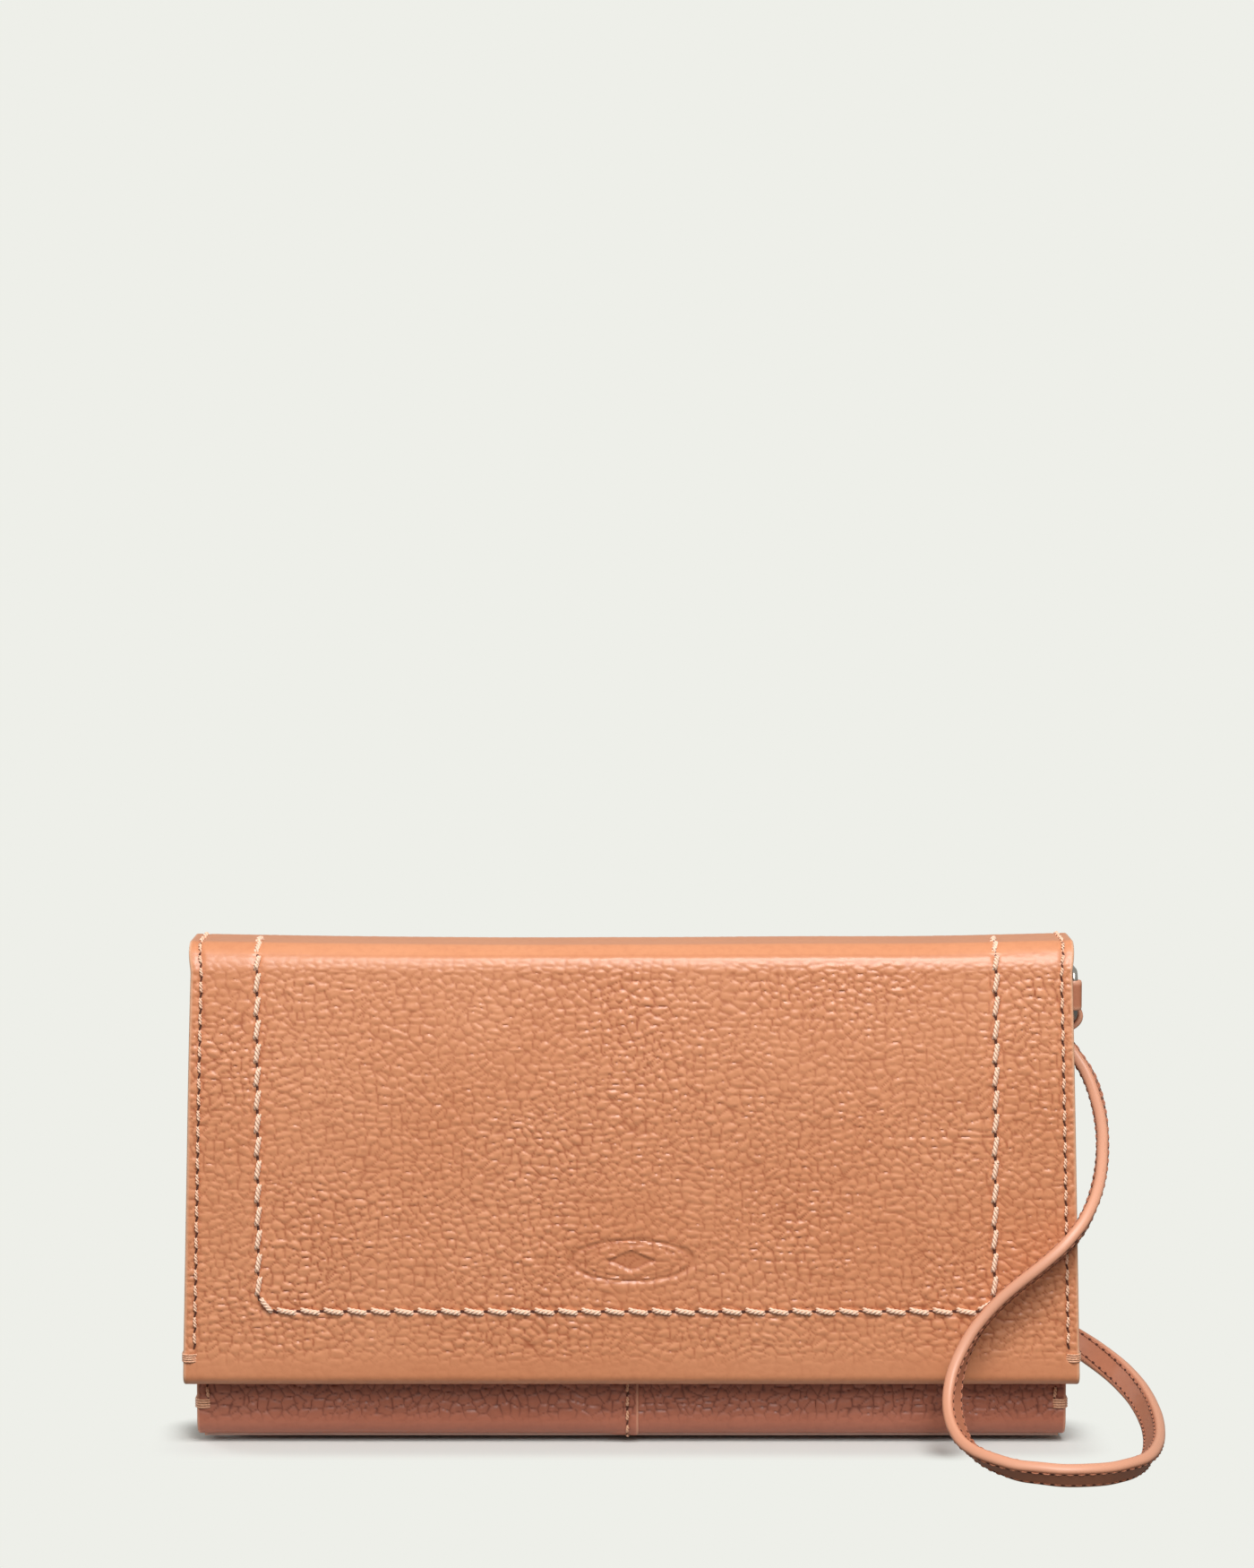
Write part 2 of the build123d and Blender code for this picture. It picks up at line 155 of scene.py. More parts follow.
def pebbles(x, s, seed, size=(2.5, 1.75)):
    """Height of pebbled leather, 0 in the creases to about 1 on the pebbles, over millimetres."""
    wx = x + 1.6 * soft_noise(x / 9, s / 9, seed + 1) + 0.34 * soft_noise(x / 2.2, s / 2.2, seed + 3)
    ws = s + 1.4 * soft_noise(x / 9, s / 9, seed + 2) + 0.26 * soft_noise(x / 2.2, s / 2.2, seed + 4)
    ws = ws + 0.10 * wx
    edge, owner = cell_edges(wx / size[0], ws / size[1], seed)
    dome = 1 - (1 - np.clip(edge / 0.60, 0, 1)) ** 2.0
    small_edge, _ = cell_edges(wx / (size[0] * 0.55) + 3.7, ws / (size[1] * 0.62) + 5.1, seed + 5)
    small = 1 - (1 - np.clip(small_edge / 0.40, 0, 1)) ** 2
    tilt = 0.30 * soft_noise(x / 1.3, s / 0.9, seed + 7)
    return dome * (0.82 + 0.18 * owner) * (0.84 + 0.16 * small) + tilt * dome


def grained(grid_x, grid_s, seed, strength):
    """Height of the pebbled grain, and the tone that paints shade into its creases, as strong as strength
    says.
    """
    grain = pebbles(grid_x / MM, grid_s / MM, seed)
    return GRAIN_HEIGHT * (grain - 0.7) * strength, np.clip((0.37 - grain) * 2.6, 0, 1) * strength


# ---- meshes --------------------------------------------------------------
def new_object(name, data):
    obj = bpy.data.objects.new(name, data)
    bpy.context.scene.collection.objects.link(obj)
    return obj


def mesh_object(name, vertices, faces, material, smooth_angle=50.0):
    mesh = bpy.data.meshes.new(name)
    mesh.from_pydata([tuple(v) for v in vertices], [], faces)
    mesh.polygons.foreach_set("use_smooth", [True] * len(mesh.polygons))
    mesh.set_sharp_from_angle(angle=math.radians(smooth_angle))
    mesh.update()
    mesh.materials.append(material)
    return new_object(name, mesh)


def set_attribute(obj, name, values):
    layer = obj.data.attributes.new(name, "FLOAT", "POINT")
    layer.data.foreach_set("value", np.asarray(values, dtype=np.float32))


def piece_points(piece, step, whole):
    """Points and outward normals at even steps of a line or an arc, with its last point where whole is 1."""
    if piece[0] == "line":
        start, end = np.array(piece[1]), np.array(piece[2])
        length = np.linalg.norm(end - start)
        count = max(2, int(round(length / step)))
        t = (np.arange(count + whole) / count)[:, None]
        along = (end - start) / length
        return start + (end - start) * t, np.tile([piece[3] * along[1], -piece[3] * along[0]], (len(t), 1))
    _, centre, radius, begin, finish = piece
    count = max(6, int(round(abs(math.radians(finish - begin)) * radius / step)))
    angle = np.radians(begin + (finish - begin) * np.arange(count + whole) / count)
    ray = np.stack([np.cos(angle), np.sin(angle)], 1)
    return np.array(centre) + radius * ray, ray


def profile(pieces, step):
    """Points and outward normals along a path of lines and arcs in the Y-Z plane.

    ("line", start, end, side) has its outer side on the left where side is 1 and on the right
    where it is -1, and ("arc", centre, radius, from degrees, to degrees) has it away from its centre.
    """
    rows = [piece_points(piece, step, int(piece is pieces[-1])) for piece in pieces]
    points, normals = (np.concatenate(part) for part in zip(*rows))
    return points, unit(normals)


def path_length(points):
    return np.concatenate([[0], np.cumsum(np.linalg.norm(np.diff(points, axis=0), axis=1))])


class Skin:
    """A strip of leather that follows a path in the Y-Z plane, as wide as width says."""

    def __init__(self, pieces, step, low_x, high_x, lift):
        self.points, self.normals = profile(pieces, step)
        self.s = path_length(self.points)
        self.low_x, self.high_x, self.lift = low_x, high_x, lift

    def at(self, x, s):
        """Surface point and normal above the path at distance s, without any grain."""
        x, s = np.asarray(x, float), np.asarray(s, float)
        y = np.interp(s, self.s, self.points[:, 0])
        z = np.interp(s, self.s, self.points[:, 1])
        ny = np.interp(s, self.s, self.normals[:, 0])
        nz = np.interp(s, self.s, self.normals[:, 1])
        size = np.hypot(ny, nz)
        normal = np.stack([np.zeros_like(ny), ny / size, nz / size], -1)
        shift = self.lift(x, y, z)
        return np.stack([x, y, z], -1) + normal * shift[..., None], normal

    def s_at_height(self, z):
        """Distance along the path where it first reaches height z, going down from the spine."""
        return self.s[np.argmax(self.points[:, 1] <= z)]


def skin_object(name, skin, thickness, relief, step, material, round_r=0.55 * MM):
    """The strip as a closed mesh: grained outside, rounded sides, plain inside."""
    inside = np.arange(-1 + 4 * step / TOP_HALF / 2, 1, step / TOP_HALF)
    rims = 1 - np.array([0.0, 0.06, 0.16, 0.32, 0.6, 1.0]) * 1.3 * MM / TOP_HALF
    fractions = np.unique(np.round(np.concatenate([-rims, inside, rims]), 6))
    low, high = skin.low_x(skin.points[:, 1]), skin.high_x(skin.points[:, 1])
    grid_x = low[:, None] + (high - low)[:, None] * (fractions[None, :] + 1) / 2
    grid_s = np.repeat(skin.s[:, None], len(fractions), 1)
    position, normal = skin.at(grid_x, grid_s)
    height, painted_shade_and_tone = relief(grid_x, grid_s, position)
    edge = np.minimum(grid_x - low[:, None], high[:, None] - grid_x)
    inner = np.clip(round_r - edge, 0, round_r)
    drop = round_r - np.sqrt(np.maximum(round_r**2 - inner**2, 0))
    fade = smooth(0, 1.0 * MM, edge)
    outer = position + normal * (height * fade - drop)[..., None]
    rows, columns = grid_x.shape
    vertices = [outer.reshape(-1, 3)]
    tone = [(painted_shade_and_tone * fade).ravel()]
    rim = [(1 - smooth(0.15 * MM, 0.75 * MM, edge)).ravel()]
    base = rows * columns
    depth = thickness - 0.25 * MM
    for column, inset in ((0, 0.25 * MM), (columns - 1, -0.25 * MM)):
        for level, sideways in ((depth, 0.0), (thickness, inset)):
            wall = position[:, column] - normal[:, column] * level
            wall[:, 0] += sideways
            vertices.append(wall)
            tone.append(np.ones(rows) * 0.6)
            rim.append(np.ones(rows))
    index = np.arange(base).reshape(rows, columns)
    left = [base + np.arange(rows), base + rows + np.arange(rows)]
    right = [base + 2 * rows + np.arange(rows), base + 3 * rows + np.arange(rows)]
    chain = [index[:, column] for column in range(columns)]
    chain = chain + [right[0], right[1], left[1], left[0]]
    ring = np.stack(chain + [chain[0]], 1)
    a, b = ring[:-1, :-1], ring[:-1, 1:]
    c, d = ring[1:, 1:], ring[1:, :-1]
    faces = np.stack([a, d, c, b], -1).reshape(-1, 4).tolist()
    faces.append(ring[0, :-1].tolist())
    faces.append(ring[-1, :-1][::-1].tolist())
    obj = mesh_object(name, np.concatenate(vertices), faces, material)
    set_attribute(obj, "painted_shade_and_tone", np.concatenate(tone))
    set_attribute(obj, "rim", np.concatenate(rim))
    outward(obj)
    return obj


def outward(obj):
    """Turns all faces so that the closed mesh has a positive volume."""
    work = bmesh.new()
    work.from_mesh(obj.data)
    bmesh.ops.recalc_face_normals(work, faces=work.faces)
    work.to_mesh(obj.data)
    work.free()


def sleeve(index):
    """Faces of a closed tube whose rings of vertex numbers are the rows of index."""
    beside = np.roll(index, -1, axis=1)
    faces = np.stack([index[:-1], beside[:-1], beside[1:], index[1:]], -1).reshape(-1, 4).tolist()
    return faces + [index[0][::-1].tolist(), index[-1].tolist()]


def tubes(name, strands, material, sides=6):
    """One mesh of many round closed strands, each a list of points with a radius for each point."""
    vertices, faces = [], []
    turn = np.linspace(0, 2 * math.pi, sides, endpoint=False)
    start = 0
    for points, radii in strands:
        points = np.asarray(points)
        tangent = unit(np.gradient(points, axis=0))
        helper = np.array([0.13, 0.31, 0.94])
        across = unit(np.cross(tangent, helper))
        other = np.cross(tangent, across)
        ray = np.cos(turn)[None, :, None] * across[:, None] + np.sin(turn)[None, :, None] * other[:, None]
        body = points[:, None] + ray * np.asarray(radii)[:, None, None]
        vertices.append(body.reshape(-1, 3))
        size = len(points) * sides
        faces += sleeve(np.arange(start, start + size).reshape(-1, sides))
        start += size
    return mesh_object(name, np.concatenate(vertices), faces, material, 80)


def strand(line, radius):
    """Even points along a bent line of thread, with its radius at each."""
    fine, _ = even(np.array(line), 0.5 * MM)
    return fine, np.full(len(fine), radius)


def rest_points(samples, normals, sink, rise):
    """Bows a row of points so that both ends sink into the surface and the middle stands on it."""
    t = np.linspace(-1, 1, len(samples))
    bow = rise - (rise + sink) * np.abs(t) ** 6
    return samples + normals * bow[:, None]


def twisted_stitch(start, end, normal, radius, twists, strands, count, slant):
    """One stitch between two holes as strands twisted round each other."""
    start, end = np.asarray(start), np.asarray(end)
    t = np.linspace(0, 1, count)[:, None]
    along = unit(end - start)
    side = np.cross(along, normal)
    line = start + (end - start) * t + side * (slant * (t - 0.5))
    line = rest_points(line, np.tile(normal, (count, 1)), radius * 1.5, radius * 0.75)
    result = []
    for number in range(strands):
        angle = 2 * math.pi * (twists * t + number / strands)
        spiral = np.cos(angle) * side + np.sin(angle) * normal
        radii = radius * 0.50 * (1 - 0.35 * np.abs(2 * t[:, 0] - 1) ** 6)
        result.append((line + spiral * radius * 0.55, radii))
    return result


def dimple(centre, normal, along, length, width):
    """A shallow closed lens whose dark colour is the painted shade inside a needle hole."""
    side = np.cross(along, normal)
    return centre, along * length, side * width, normal * 0.10 * MM


def lenses(name, items, material):
    vertices, faces = [], []
    turn = np.linspace(0, 2 * math.pi, 8, endpoint=False)
    start = 0
    for centre, along, side, up in items:
        ring = centre + np.cos(turn)[:, None] * along + np.sin(turn)[:, None] * side
        vertices.append(np.concatenate([ring, [centre + up], [centre - up * 3]]))
        for j in range(8):
            k = (j + 1) % 8
            faces.append((start + j, start + k, start + 8))
            faces.append((start + k, start + j, start + 9))
        start += 10
    return mesh_object(name, np.concatenate(vertices), faces, material, 89)


# ---- materials -----------------------------------------------------------
def new_material(name):
    material = bpy.data.materials.new(name)
    material.use_nodes = True
    nodes = material.node_tree.nodes
    shader = nodes["Principled BSDF"]
    return material, nodes, material.node_tree.links, shader


def put(node, **values):
    """Sets inputs of a node, whose names are written with _ for each space."""
    for key, value in values.items():
        node.inputs[key.replace("_", " ")].default_value = value


def linear(r, g, b):
    """A colour given in ordinary 0 to 255 values, as linear light."""
    def one(value):
        value = value / 255
        return value / 12.92 if value <= 0.04045 else ((value + 0.055) / 1.055) ** 2.4
    return (one(r), one(g), one(b), 1.0)


def position_noise(nodes, links, scale, detail=2.0, roughness=0.5):
    place = nodes.new("ShaderNodeTexCoord")
    noise = nodes.new("ShaderNodeTexNoise")
    put(noise, Scale=scale, Detail=detail, Roughness=roughness)
    links.new(place.outputs["Object"], noise.inputs["Vector"])
    return noise


def mix_colour(nodes, links, factor, first, second):
    mix = nodes.new("ShaderNodeMix")
    mix.data_type = "RGBA"
    for key, colour in (("A", first), ("B", second)):
        if isinstance(colour, tuple):
            mix.inputs[key].default_value = colour
        else:
            links.new(colour, mix.inputs[key])
    links.new(factor, mix.inputs["Factor"])
    return mix.outputs["Result"]


def ramp(nodes, links, source, low, high, first=0.0, last=1.0):
    """Maps low..high of a value to first..last."""
    node = nodes.new("ShaderNodeMapRange")
    put(node, From_Min=low, From_Max=high, To_Min=first, To_Max=last)
    links.new(source, node.inputs["Value"])
    return node.outputs["Result"]


def add_bump(nodes, links, shader, height, strength, distance):
    bump = nodes.new("ShaderNodeBump")
    put(bump, Strength=strength, Distance=distance)
    links.new(height, bump.inputs["Height"])
    links.new(bump.outputs["Normal"], shader.inputs["Normal"])


def leather(name, base, painted_shade_and_tone, worn, edge, roughness=0.46, pore_depth=0.05, pore_scale=1900.0):
    """Leather whose creases, grooves and pressed marks are darkened with painted shade, with random tone,
    cut edges of their own colour, and fine pores.
    """
    base, painted_shade_and_tone, worn, edge = (linear(*colour) for colour in (base, painted_shade_and_tone, worn, edge))
    material, nodes, links, shader = new_material(name)
    # This attribute is painted shade in creases, grooves and on smooth bands, with some random tone.
    tone = nodes.new("ShaderNodeAttribute")
    tone.attribute_name = "painted_shade_and_tone"
    rim = nodes.new("ShaderNodeAttribute")
    rim.attribute_name = "rim"
    cloud = position_noise(nodes, links, 28.0, 3.0)
    mottled = mix_colour(nodes, links, ramp(nodes, links, cloud.outputs["Fac"], 0.30, 0.70), base, worn)
    speck = position_noise(nodes, links, 620.0, 2.0)
    speck_colour = mix_colour(
        nodes, links, ramp(nodes, links, speck.outputs["Fac"], 0.45, 2.6), mottled, painted_shade_and_tone
    )
    # Mixing towards the dark colour paints shade into the creases and grooves.
    with_painted_shade = mix_colour(nodes, links, tone.outputs["Fac"], speck_colour, painted_shade_and_tone)
    finished = mix_colour(nodes, links, rim.outputs["Fac"], with_painted_shade, edge)
    links.new(finished, shader.inputs["Base Color"])
    rough = ramp(nodes, links, cloud.outputs["Fac"], 0.2, 0.8, roughness - 0.04, roughness + 0.06)
    links.new(rough, shader.inputs["Roughness"])
    pores = position_noise(nodes, links, pore_scale, 3.0, 0.6)
    add_bump(nodes, links, shader, pores.outputs["Fac"], 0.35, pore_depth * MM)
    put(shader, Specular_IOR_Level=0.5)
    return material


def simple(name, colour, second, roughness, scale=400.0, metallic=0.0, bump_mm=0.03, sheen=0.0):
    """A material with a little noise in its colour and its surface."""
    colour, second = linear(*colour), linear(*second)
    material, nodes, links, shader = new_material(name)
    noise = position_noise(nodes, links, scale, 3.0)
    links.new(
        mix_colour(nodes, links, ramp(nodes, links, noise.outputs["Fac"], 0.3, 0.7), colour, second),
        shader.inputs["Base Color"],
    )
    put(shader, Roughness=roughness, Metallic=metallic, Sheen_Weight=sheen)
    add_bump(nodes, links, shader, noise.outputs["Fac"], 0.4, bump_mm * MM)
    return material


def woven(name, colour, second, pitch):
    """A ribbed woven tape."""
    colour, second = linear(*colour), linear(*second)
    material, nodes, links, shader = new_material(name)
    place = nodes.new("ShaderNodeTexCoord")
    heights = []
    for direction in ("X", "Y"):
        wave = nodes.new("ShaderNodeTexWave")
        wave.bands_direction = direction
        put(wave, Scale=0.314 / pitch, Distortion=0.3)
        links.new(place.outputs["Object"], wave.inputs["Vector"])
        heights.append(wave.outputs["Fac"])
    product = nodes.new("ShaderNodeMath")
    product.operation = "MULTIPLY"
    links.new(heights[0], product.inputs[0])
    links.new(heights[1], product.inputs[1])
    links.new(mix_colour(nodes, links, product.outputs[0], second, colour), shader.inputs["Base Color"])
    put(shader, Roughness=0.85, Sheen_Weight=0.3)
    add_bump(nodes, links, shader, product.outputs[0], 0.6, 0.15 * MM)
    return material


TAN = leather(
    "tan_pebbled_leather",
    base=(204, 134, 94), painted_shade_and_tone=(158, 86, 54), worn=(210, 142, 102),
    edge=(214, 164, 132), roughness=0.37, pore_depth=0.04,
)
# A darker copy of the tan leather for the middle leaf: the darkness is painted shade from the flap above it.
SHADED = leather(
    "tan_pebbled_leather_painted_shade",
    base=(159, 92, 69), painted_shade_and_tone=(108, 54, 39), worn=(166, 99, 76),
    edge=(196, 138, 112), roughness=0.42,
)
STRAP = leather(
    "strap_leather",
    base=(190, 121, 90), painted_shade_and_tone=(140, 75, 50), worn=(198, 131, 101),
    edge=(208, 148, 119), roughness=0.42, pore_depth=0.03, pore_scale=1400.0,
)
LINING = leather(
    "lining_leather",
    base=(168, 132, 118), painted_shade_and_tone=(132, 98, 86), worn=(178, 143, 129),
    edge=(196, 150, 126), roughness=0.58, pore_depth=0.04, pore_scale=1200.0,
)
THREAD = simple("thread", (246, 214, 190), (226, 180, 150), 0.5, 2600.0, bump_mm=0.04, sheen=0.3)
EDGE_THREAD = simple("edge_thread", (246, 208, 180), (222, 172, 140), 0.5, 2600.0, sheen=0.3)
TACK_THREAD = simple("tack_thread", (230, 180, 146), (196, 136, 102), 0.55, 2600.0, sheen=0.2)
STRAP_THREAD = simple("strap_thread", (186, 118, 86), (160, 94, 66), 0.6, 2600.0, sheen=0.2)
# The needle holes' dark colour is painted shade inside the holes.
NEEDLE_HOLE_SHADE = simple("needle_hole", (92, 46, 30), (66, 32, 22), 0.9, 900.0)
BOARD = simple("stiffener_board", (170, 140, 110), (150, 122, 95), 0.9, 300.0)
FELT = simple("felt_padding", (205, 190, 168), (188, 172, 150), 1.0, 900.0, bump_mm=0.1, sheen=0.4)
NICKEL = simple("nickel", (206, 202, 196), (196, 192, 186), 0.24, 300.0, metallic=1.0, bump_mm=0.005)
TAPE = woven("zip_tape_weave", (128, 92, 72), (92, 62, 47), 0.5 * MM)
COIL = simple("zip_coil_nylon", (140, 104, 82), (126, 92, 72), 0.4, 700.0)

# ---- camera --------------------------------------------------------------
camera_data = bpy.data.cameras.new("camera")
camera_data.sensor_fit = "VERTICAL"
camera_data.sensor_height = 36.0
camera_data.lens = 100.8
camera_data.clip_start = 0.05
camera = new_object("camera", camera_data)
camera.location = (-1.0 * MM, -0.985, 0.2306)
camera.rotation_euler = (math.radians(90 - 4.70), 0, 0)
bpy.context.scene.camera = camera


# ---- wrist strap ---------------------------------------------------------
STRAP_WIDTH = 6.3 * MM
STRAP_THICKNESS = 2.8 * MM
# Each point of the route, and the direction of the strap's width there.
STRAP_ROUTE = [
    ((98.4, 17.5, 91.4), (0.0, 1.0, 0.0)), ((101.8, 16.8, 86.4), (0.0, 1.0, 0.0)),
    ((105.6, 13.2, 80.6), (0.1, 1.0, 0.1)), ((107.2, 5.8, 72.6), (0.1, 0.95, 0.15)),
    ((106.6, -3.2, 64.2), (0.1, 0.95, 0.0)), ((103.8, -11.6, 56.6), (0.1, 0.95, -0.1)),
    ((99.2, -17.4, 49.8), (0.2, 0.95, -0.2)), ((92.2, -19.2, 43.8), (0.22, 0.95, -0.22)),
    ((84.2, -19.0, 37.6), (0.22, 0.95, -0.22)), ((77.0, -19.4, 30.2), (0.25, 0.95, -0.15)),
    ((72.0, -22.2, 21.0), (0.35, 0.9, -0.1)), ((70.6, -28.6, 12.2), (0.5, 0.8, -0.25)),
    ((73.2, -37.6, 6.6), (0.5, 0.7, -0.5)), ((80.8, -46.2, 4.2), (0.35, 0.6, -0.65)),
    ((92.2, -50.6, 3.5), (0.1, 0.65, -0.75)), ((104.0, -48.4, 3.4), (-0.2, 0.6, -0.75)),
    ((112.0, -40.4, 3.5), (-0.5, 0.4, -0.75)), ((115.8, -28.6, 4.3), (-0.6, 0.15, -0.8)),
    ((117.2, -15.4, 6.2), (-0.5, 0.0, -0.85)), ((116.6, -2.0, 9.0), (-0.4, -0.2, -0.9)),
    ((112.6, 9.8, 12.8), (-0.3, -0.35, -0.9)), ((105.2, 18.2, 17.2), (-0.2, -0.6, -0.8)),
    ((96.0, 22.4, 22.2), (-0.2, -0.85, -0.5)), ((88.0, 23.6, 30.0), (-0.1, -0.95, -0.2)),
    ((83.8, 23.0, 40.0), (0.0, -1.0, 0.0)), ((84.8, 21.8, 51.0), (0.0, -1.0, 0.0)),
    ((88.2, 20.2, 61.4), (0.0, -1.0, 0.0)), ((92.4, 18.6, 71.0), (0.0, -1.0, 0.0)),
    ((95.0, 17.5, 80.6), (0.0, -1.0, 0.0)), ((95.4, 17.5, 91.0), (0.0, -1.0, 0.0)),
]


def smooth_path(name, points):
    """Points along the route's own NURBS line."""
    curve = bpy.data.curves.new(name, "CURVE")
    curve.dimensions = "3D"
    spline = curve.splines.new("NURBS")
    spline.points.add(len(points) - 1)
    for control, place in zip(spline.points, points):
        control.co = (place[0] * MM, place[1] * MM, place[2] * MM, 1.0)
    spline.order_u = 3
    spline.use_endpoint_u = True
    spline.resolution_u = 10
    guide = new_object(name, curve)
    bpy.context.view_layer.update()
    mesh = bpy.data.meshes.new_from_object(guide)
    path = np.array([v.co for v in mesh.vertices])
    bpy.data.objects.remove(guide)
    bpy.data.meshes.remove(mesh)
    bpy.data.curves.remove(curve)
    return path


def even(path, step):
    s = path_length(path)
    count = int(round(s[-1] / step)) + 1
    new = np.linspace(0, s[-1], count)
    return sample(new, s, path), new / s[-1]


def strap_frames(path, fraction):
    """Tangent, width and thickness directions at points along the strap."""
    knots = np.array([place for place, _ in STRAP_ROUTE], float)
    directions = np.array([direction for _, direction in STRAP_ROUTE], float)
    knot_at = path_length(knots)
    knot_at = knot_at / knot_at[-1]
    wide = sample(fraction, knot_at, directions)
    tangent = unit(np.gradient(path, axis=0))
    for _ in range(12):
        wide[1:-1] = (wide[:-2] + 2 * wide[1:-1] + wide[2:]) / 4
    wide = unit(wide - (wide * tangent).sum(1, keepdims=True) * tangent)
    return tangent, wide, np.cross(tangent, wide)


def strap_section():
    """Half outline, as (across the width, across the thickness): folded, rounded edges."""
    half_w, half_t = STRAP_WIDTH / 2, STRAP_THICKNESS / 2
    outline = []
    for sign_w, sign_t, begin in ((1, 1, 0), (-1, 1, 90), (-1, -1, 180), (1, -1, 270)):
        for angle in np.linspace(begin, begin + 90, 7):
            a = math.radians(angle)
            outline.append(
                (sign_w * (half_w - half_t * 0.85) + half_t * 0.85 * math.cos(a),
                 sign_t * half_t * 0.15 + half_t * 0.85 * math.sin(a))
            )
    return np.array(outline)


strap_line, strap_at = even(smooth_path("strap_guide", [place for place, _ in STRAP_ROUTE]), 0.8 * MM)
strap_tangent, strap_wide, strap_thick = strap_frames(strap_line, strap_at)
STRAP_ROW = STRAP_WIDTH / 2 - 1.25 * MM
STRAP_PITCH = 2.3 * MM


def ribbon(name, line, wide, thick, width_scale=1.0, thickness_scale=1.0):
    """A flat folded strap along a line, pinched a little along its two rows of stitches."""
    section = strap_section() * np.array([width_scale, thickness_scale])
    rows, columns = len(line), len(section)
    near_row = bell(np.abs(section[:, 0]) - STRAP_ROW, 0.5 * MM)
    pinch = 1 - 0.10 * near_row[None, :, None]
    body = line[:, None] + wide[:, None] * section[:, 0][None, :, None]
    body = body + thick[:, None] * section[:, 1][None, :, None] * pinch
    wander = soft_noise(path_length(line) / (5 * MM), np.ones(rows), 5)
    body = body + thick[:, None] * (0.10 * MM * thickness_scale * wander)[:, None, None]
    index = np.arange(rows * columns).reshape(rows, columns)
    strap = mesh_object(name, body.reshape(-1, 3), sleeve(index), STRAP, 60)
    outward(strap)
    edge = smooth(STRAP_WIDTH / 2 - 0.9 * MM, STRAP_WIDTH / 2 - 0.2 * MM, np.abs(section[:, 0]))
    set_attribute(strap, "rim", np.tile(edge, rows))
    # Painted shade along the pinched rows of stitches.
    set_attribute(strap, "painted_shade_and_tone", np.tile(0.25 * near_row, rows))
    return strap


def level_ribbon(name, line, across, width_scale, thickness_scale):
    """A ribbon whose width keeps one direction all along."""
    wide = np.tile(across, (len(line), 1))
    thick = np.cross(unit(np.gradient(line, axis=0)), wide)
    return ribbon(name, line, wide, thick, width_scale, thickness_scale)


def make_strap_stitches():
    s = path_length(strap_line)
    threads, holes = [], []
    places = (np.arange(int(s[-1] / STRAP_PITCH)) + 0.5) * STRAP_PITCH
    for face in (-1, 1):
        for row in (-1, 1):
            line = strap_line + strap_wide * row * STRAP_ROW + strap_thick * face * STRAP_THICKNESS * 0.47
            out = strap_thick * face
            for place in places:
                t = place + STRAP_PITCH * np.array([-0.36, -0.18, 0.0, 0.18, 0.36])
                points, normals = sample(t, s, line), sample(t, s, out)
                bow = np.array([-0.22, 0.02, 0.08, 0.02, -0.22]) * MM
                threads.append((points + normals * bow[:, None], np.full(5, 0.17 * MM)))
                between = np.array([place + STRAP_PITCH / 2])
                spot, normal, along = (sample(between, s, rows)[0] for rows in (line, out, strap_tangent))
                holes.append(dimple(spot, normal, along, 0.50 * MM, 0.28 * MM))
    thread = tubes("wrist_strap_stitches", threads, STRAP_THREAD, 5)
    hole = lenses("wrist_strap_needle_holes", holes, NEEDLE_HOLE_SHADE)
    return thread, hole


strap = ribbon("wrist_strap_leather", strap_line, strap_wide, strap_thick)
strap_stitches, strap_holes = make_strap_stitches()
for piece in (strap, strap_stitches, strap_holes):
    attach(piece, "case")
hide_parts("wrist_strap")


def make_strap_fold():
    """Where the strap passes over the ring's lower arm and is sewn to itself."""
    y = 17.5
    ring_x = sum(corner[0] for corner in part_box("strap_ring")) / 2 / MM
    arm_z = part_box("strap_ring")[0][2] / MM + 0.9
    around = 1.75
    points = [(98.4, y, 90.6), (100.4, y, 91.8), (ring_x + 1.6, y, arm_z - 1.6),
              (ring_x + around + 0.3, y, arm_z + 0.6), (ring_x + 0.3, y, arm_z + around + 0.8),
              (ring_x - around - 0.6, y, arm_z + 0.6), (ring_x - 3.4, y, arm_z - 1.8),
              (95.8, y, 91.8), (95.4, y, 90.2)]
    line, _ = even(smooth_path("strap_fold_guide", points), 0.6 * MM)
    fold = level_ribbon("strap_end_fold", line, [0.0, 1.0, 0.0], 0.92, 0.55)
    threads = []
    for row in (-1.6, 0.0, 1.6):
        for face in (-1, 1):
            ys = y * MM + row * MM + np.linspace(-0.7, 0.7, 5) * MM
            x = 96.9 * MM + face * 2.9 * MM + np.array([-0.2, 0.02, 0.06, 0.02, -0.2]) * MM * face
            threads.append((np.stack([x, ys, np.full(5, 90.8 * MM)], 1), np.full(5, 0.22 * MM)))
    return fold, tubes("strap_end_stitches", threads, STRAP_THREAD, 5)


strap_fold, strap_fold_stitches = make_strap_fold()
for piece in (strap_fold, strap_fold_stitches):
    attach(piece, "ring")
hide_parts("strap_end")


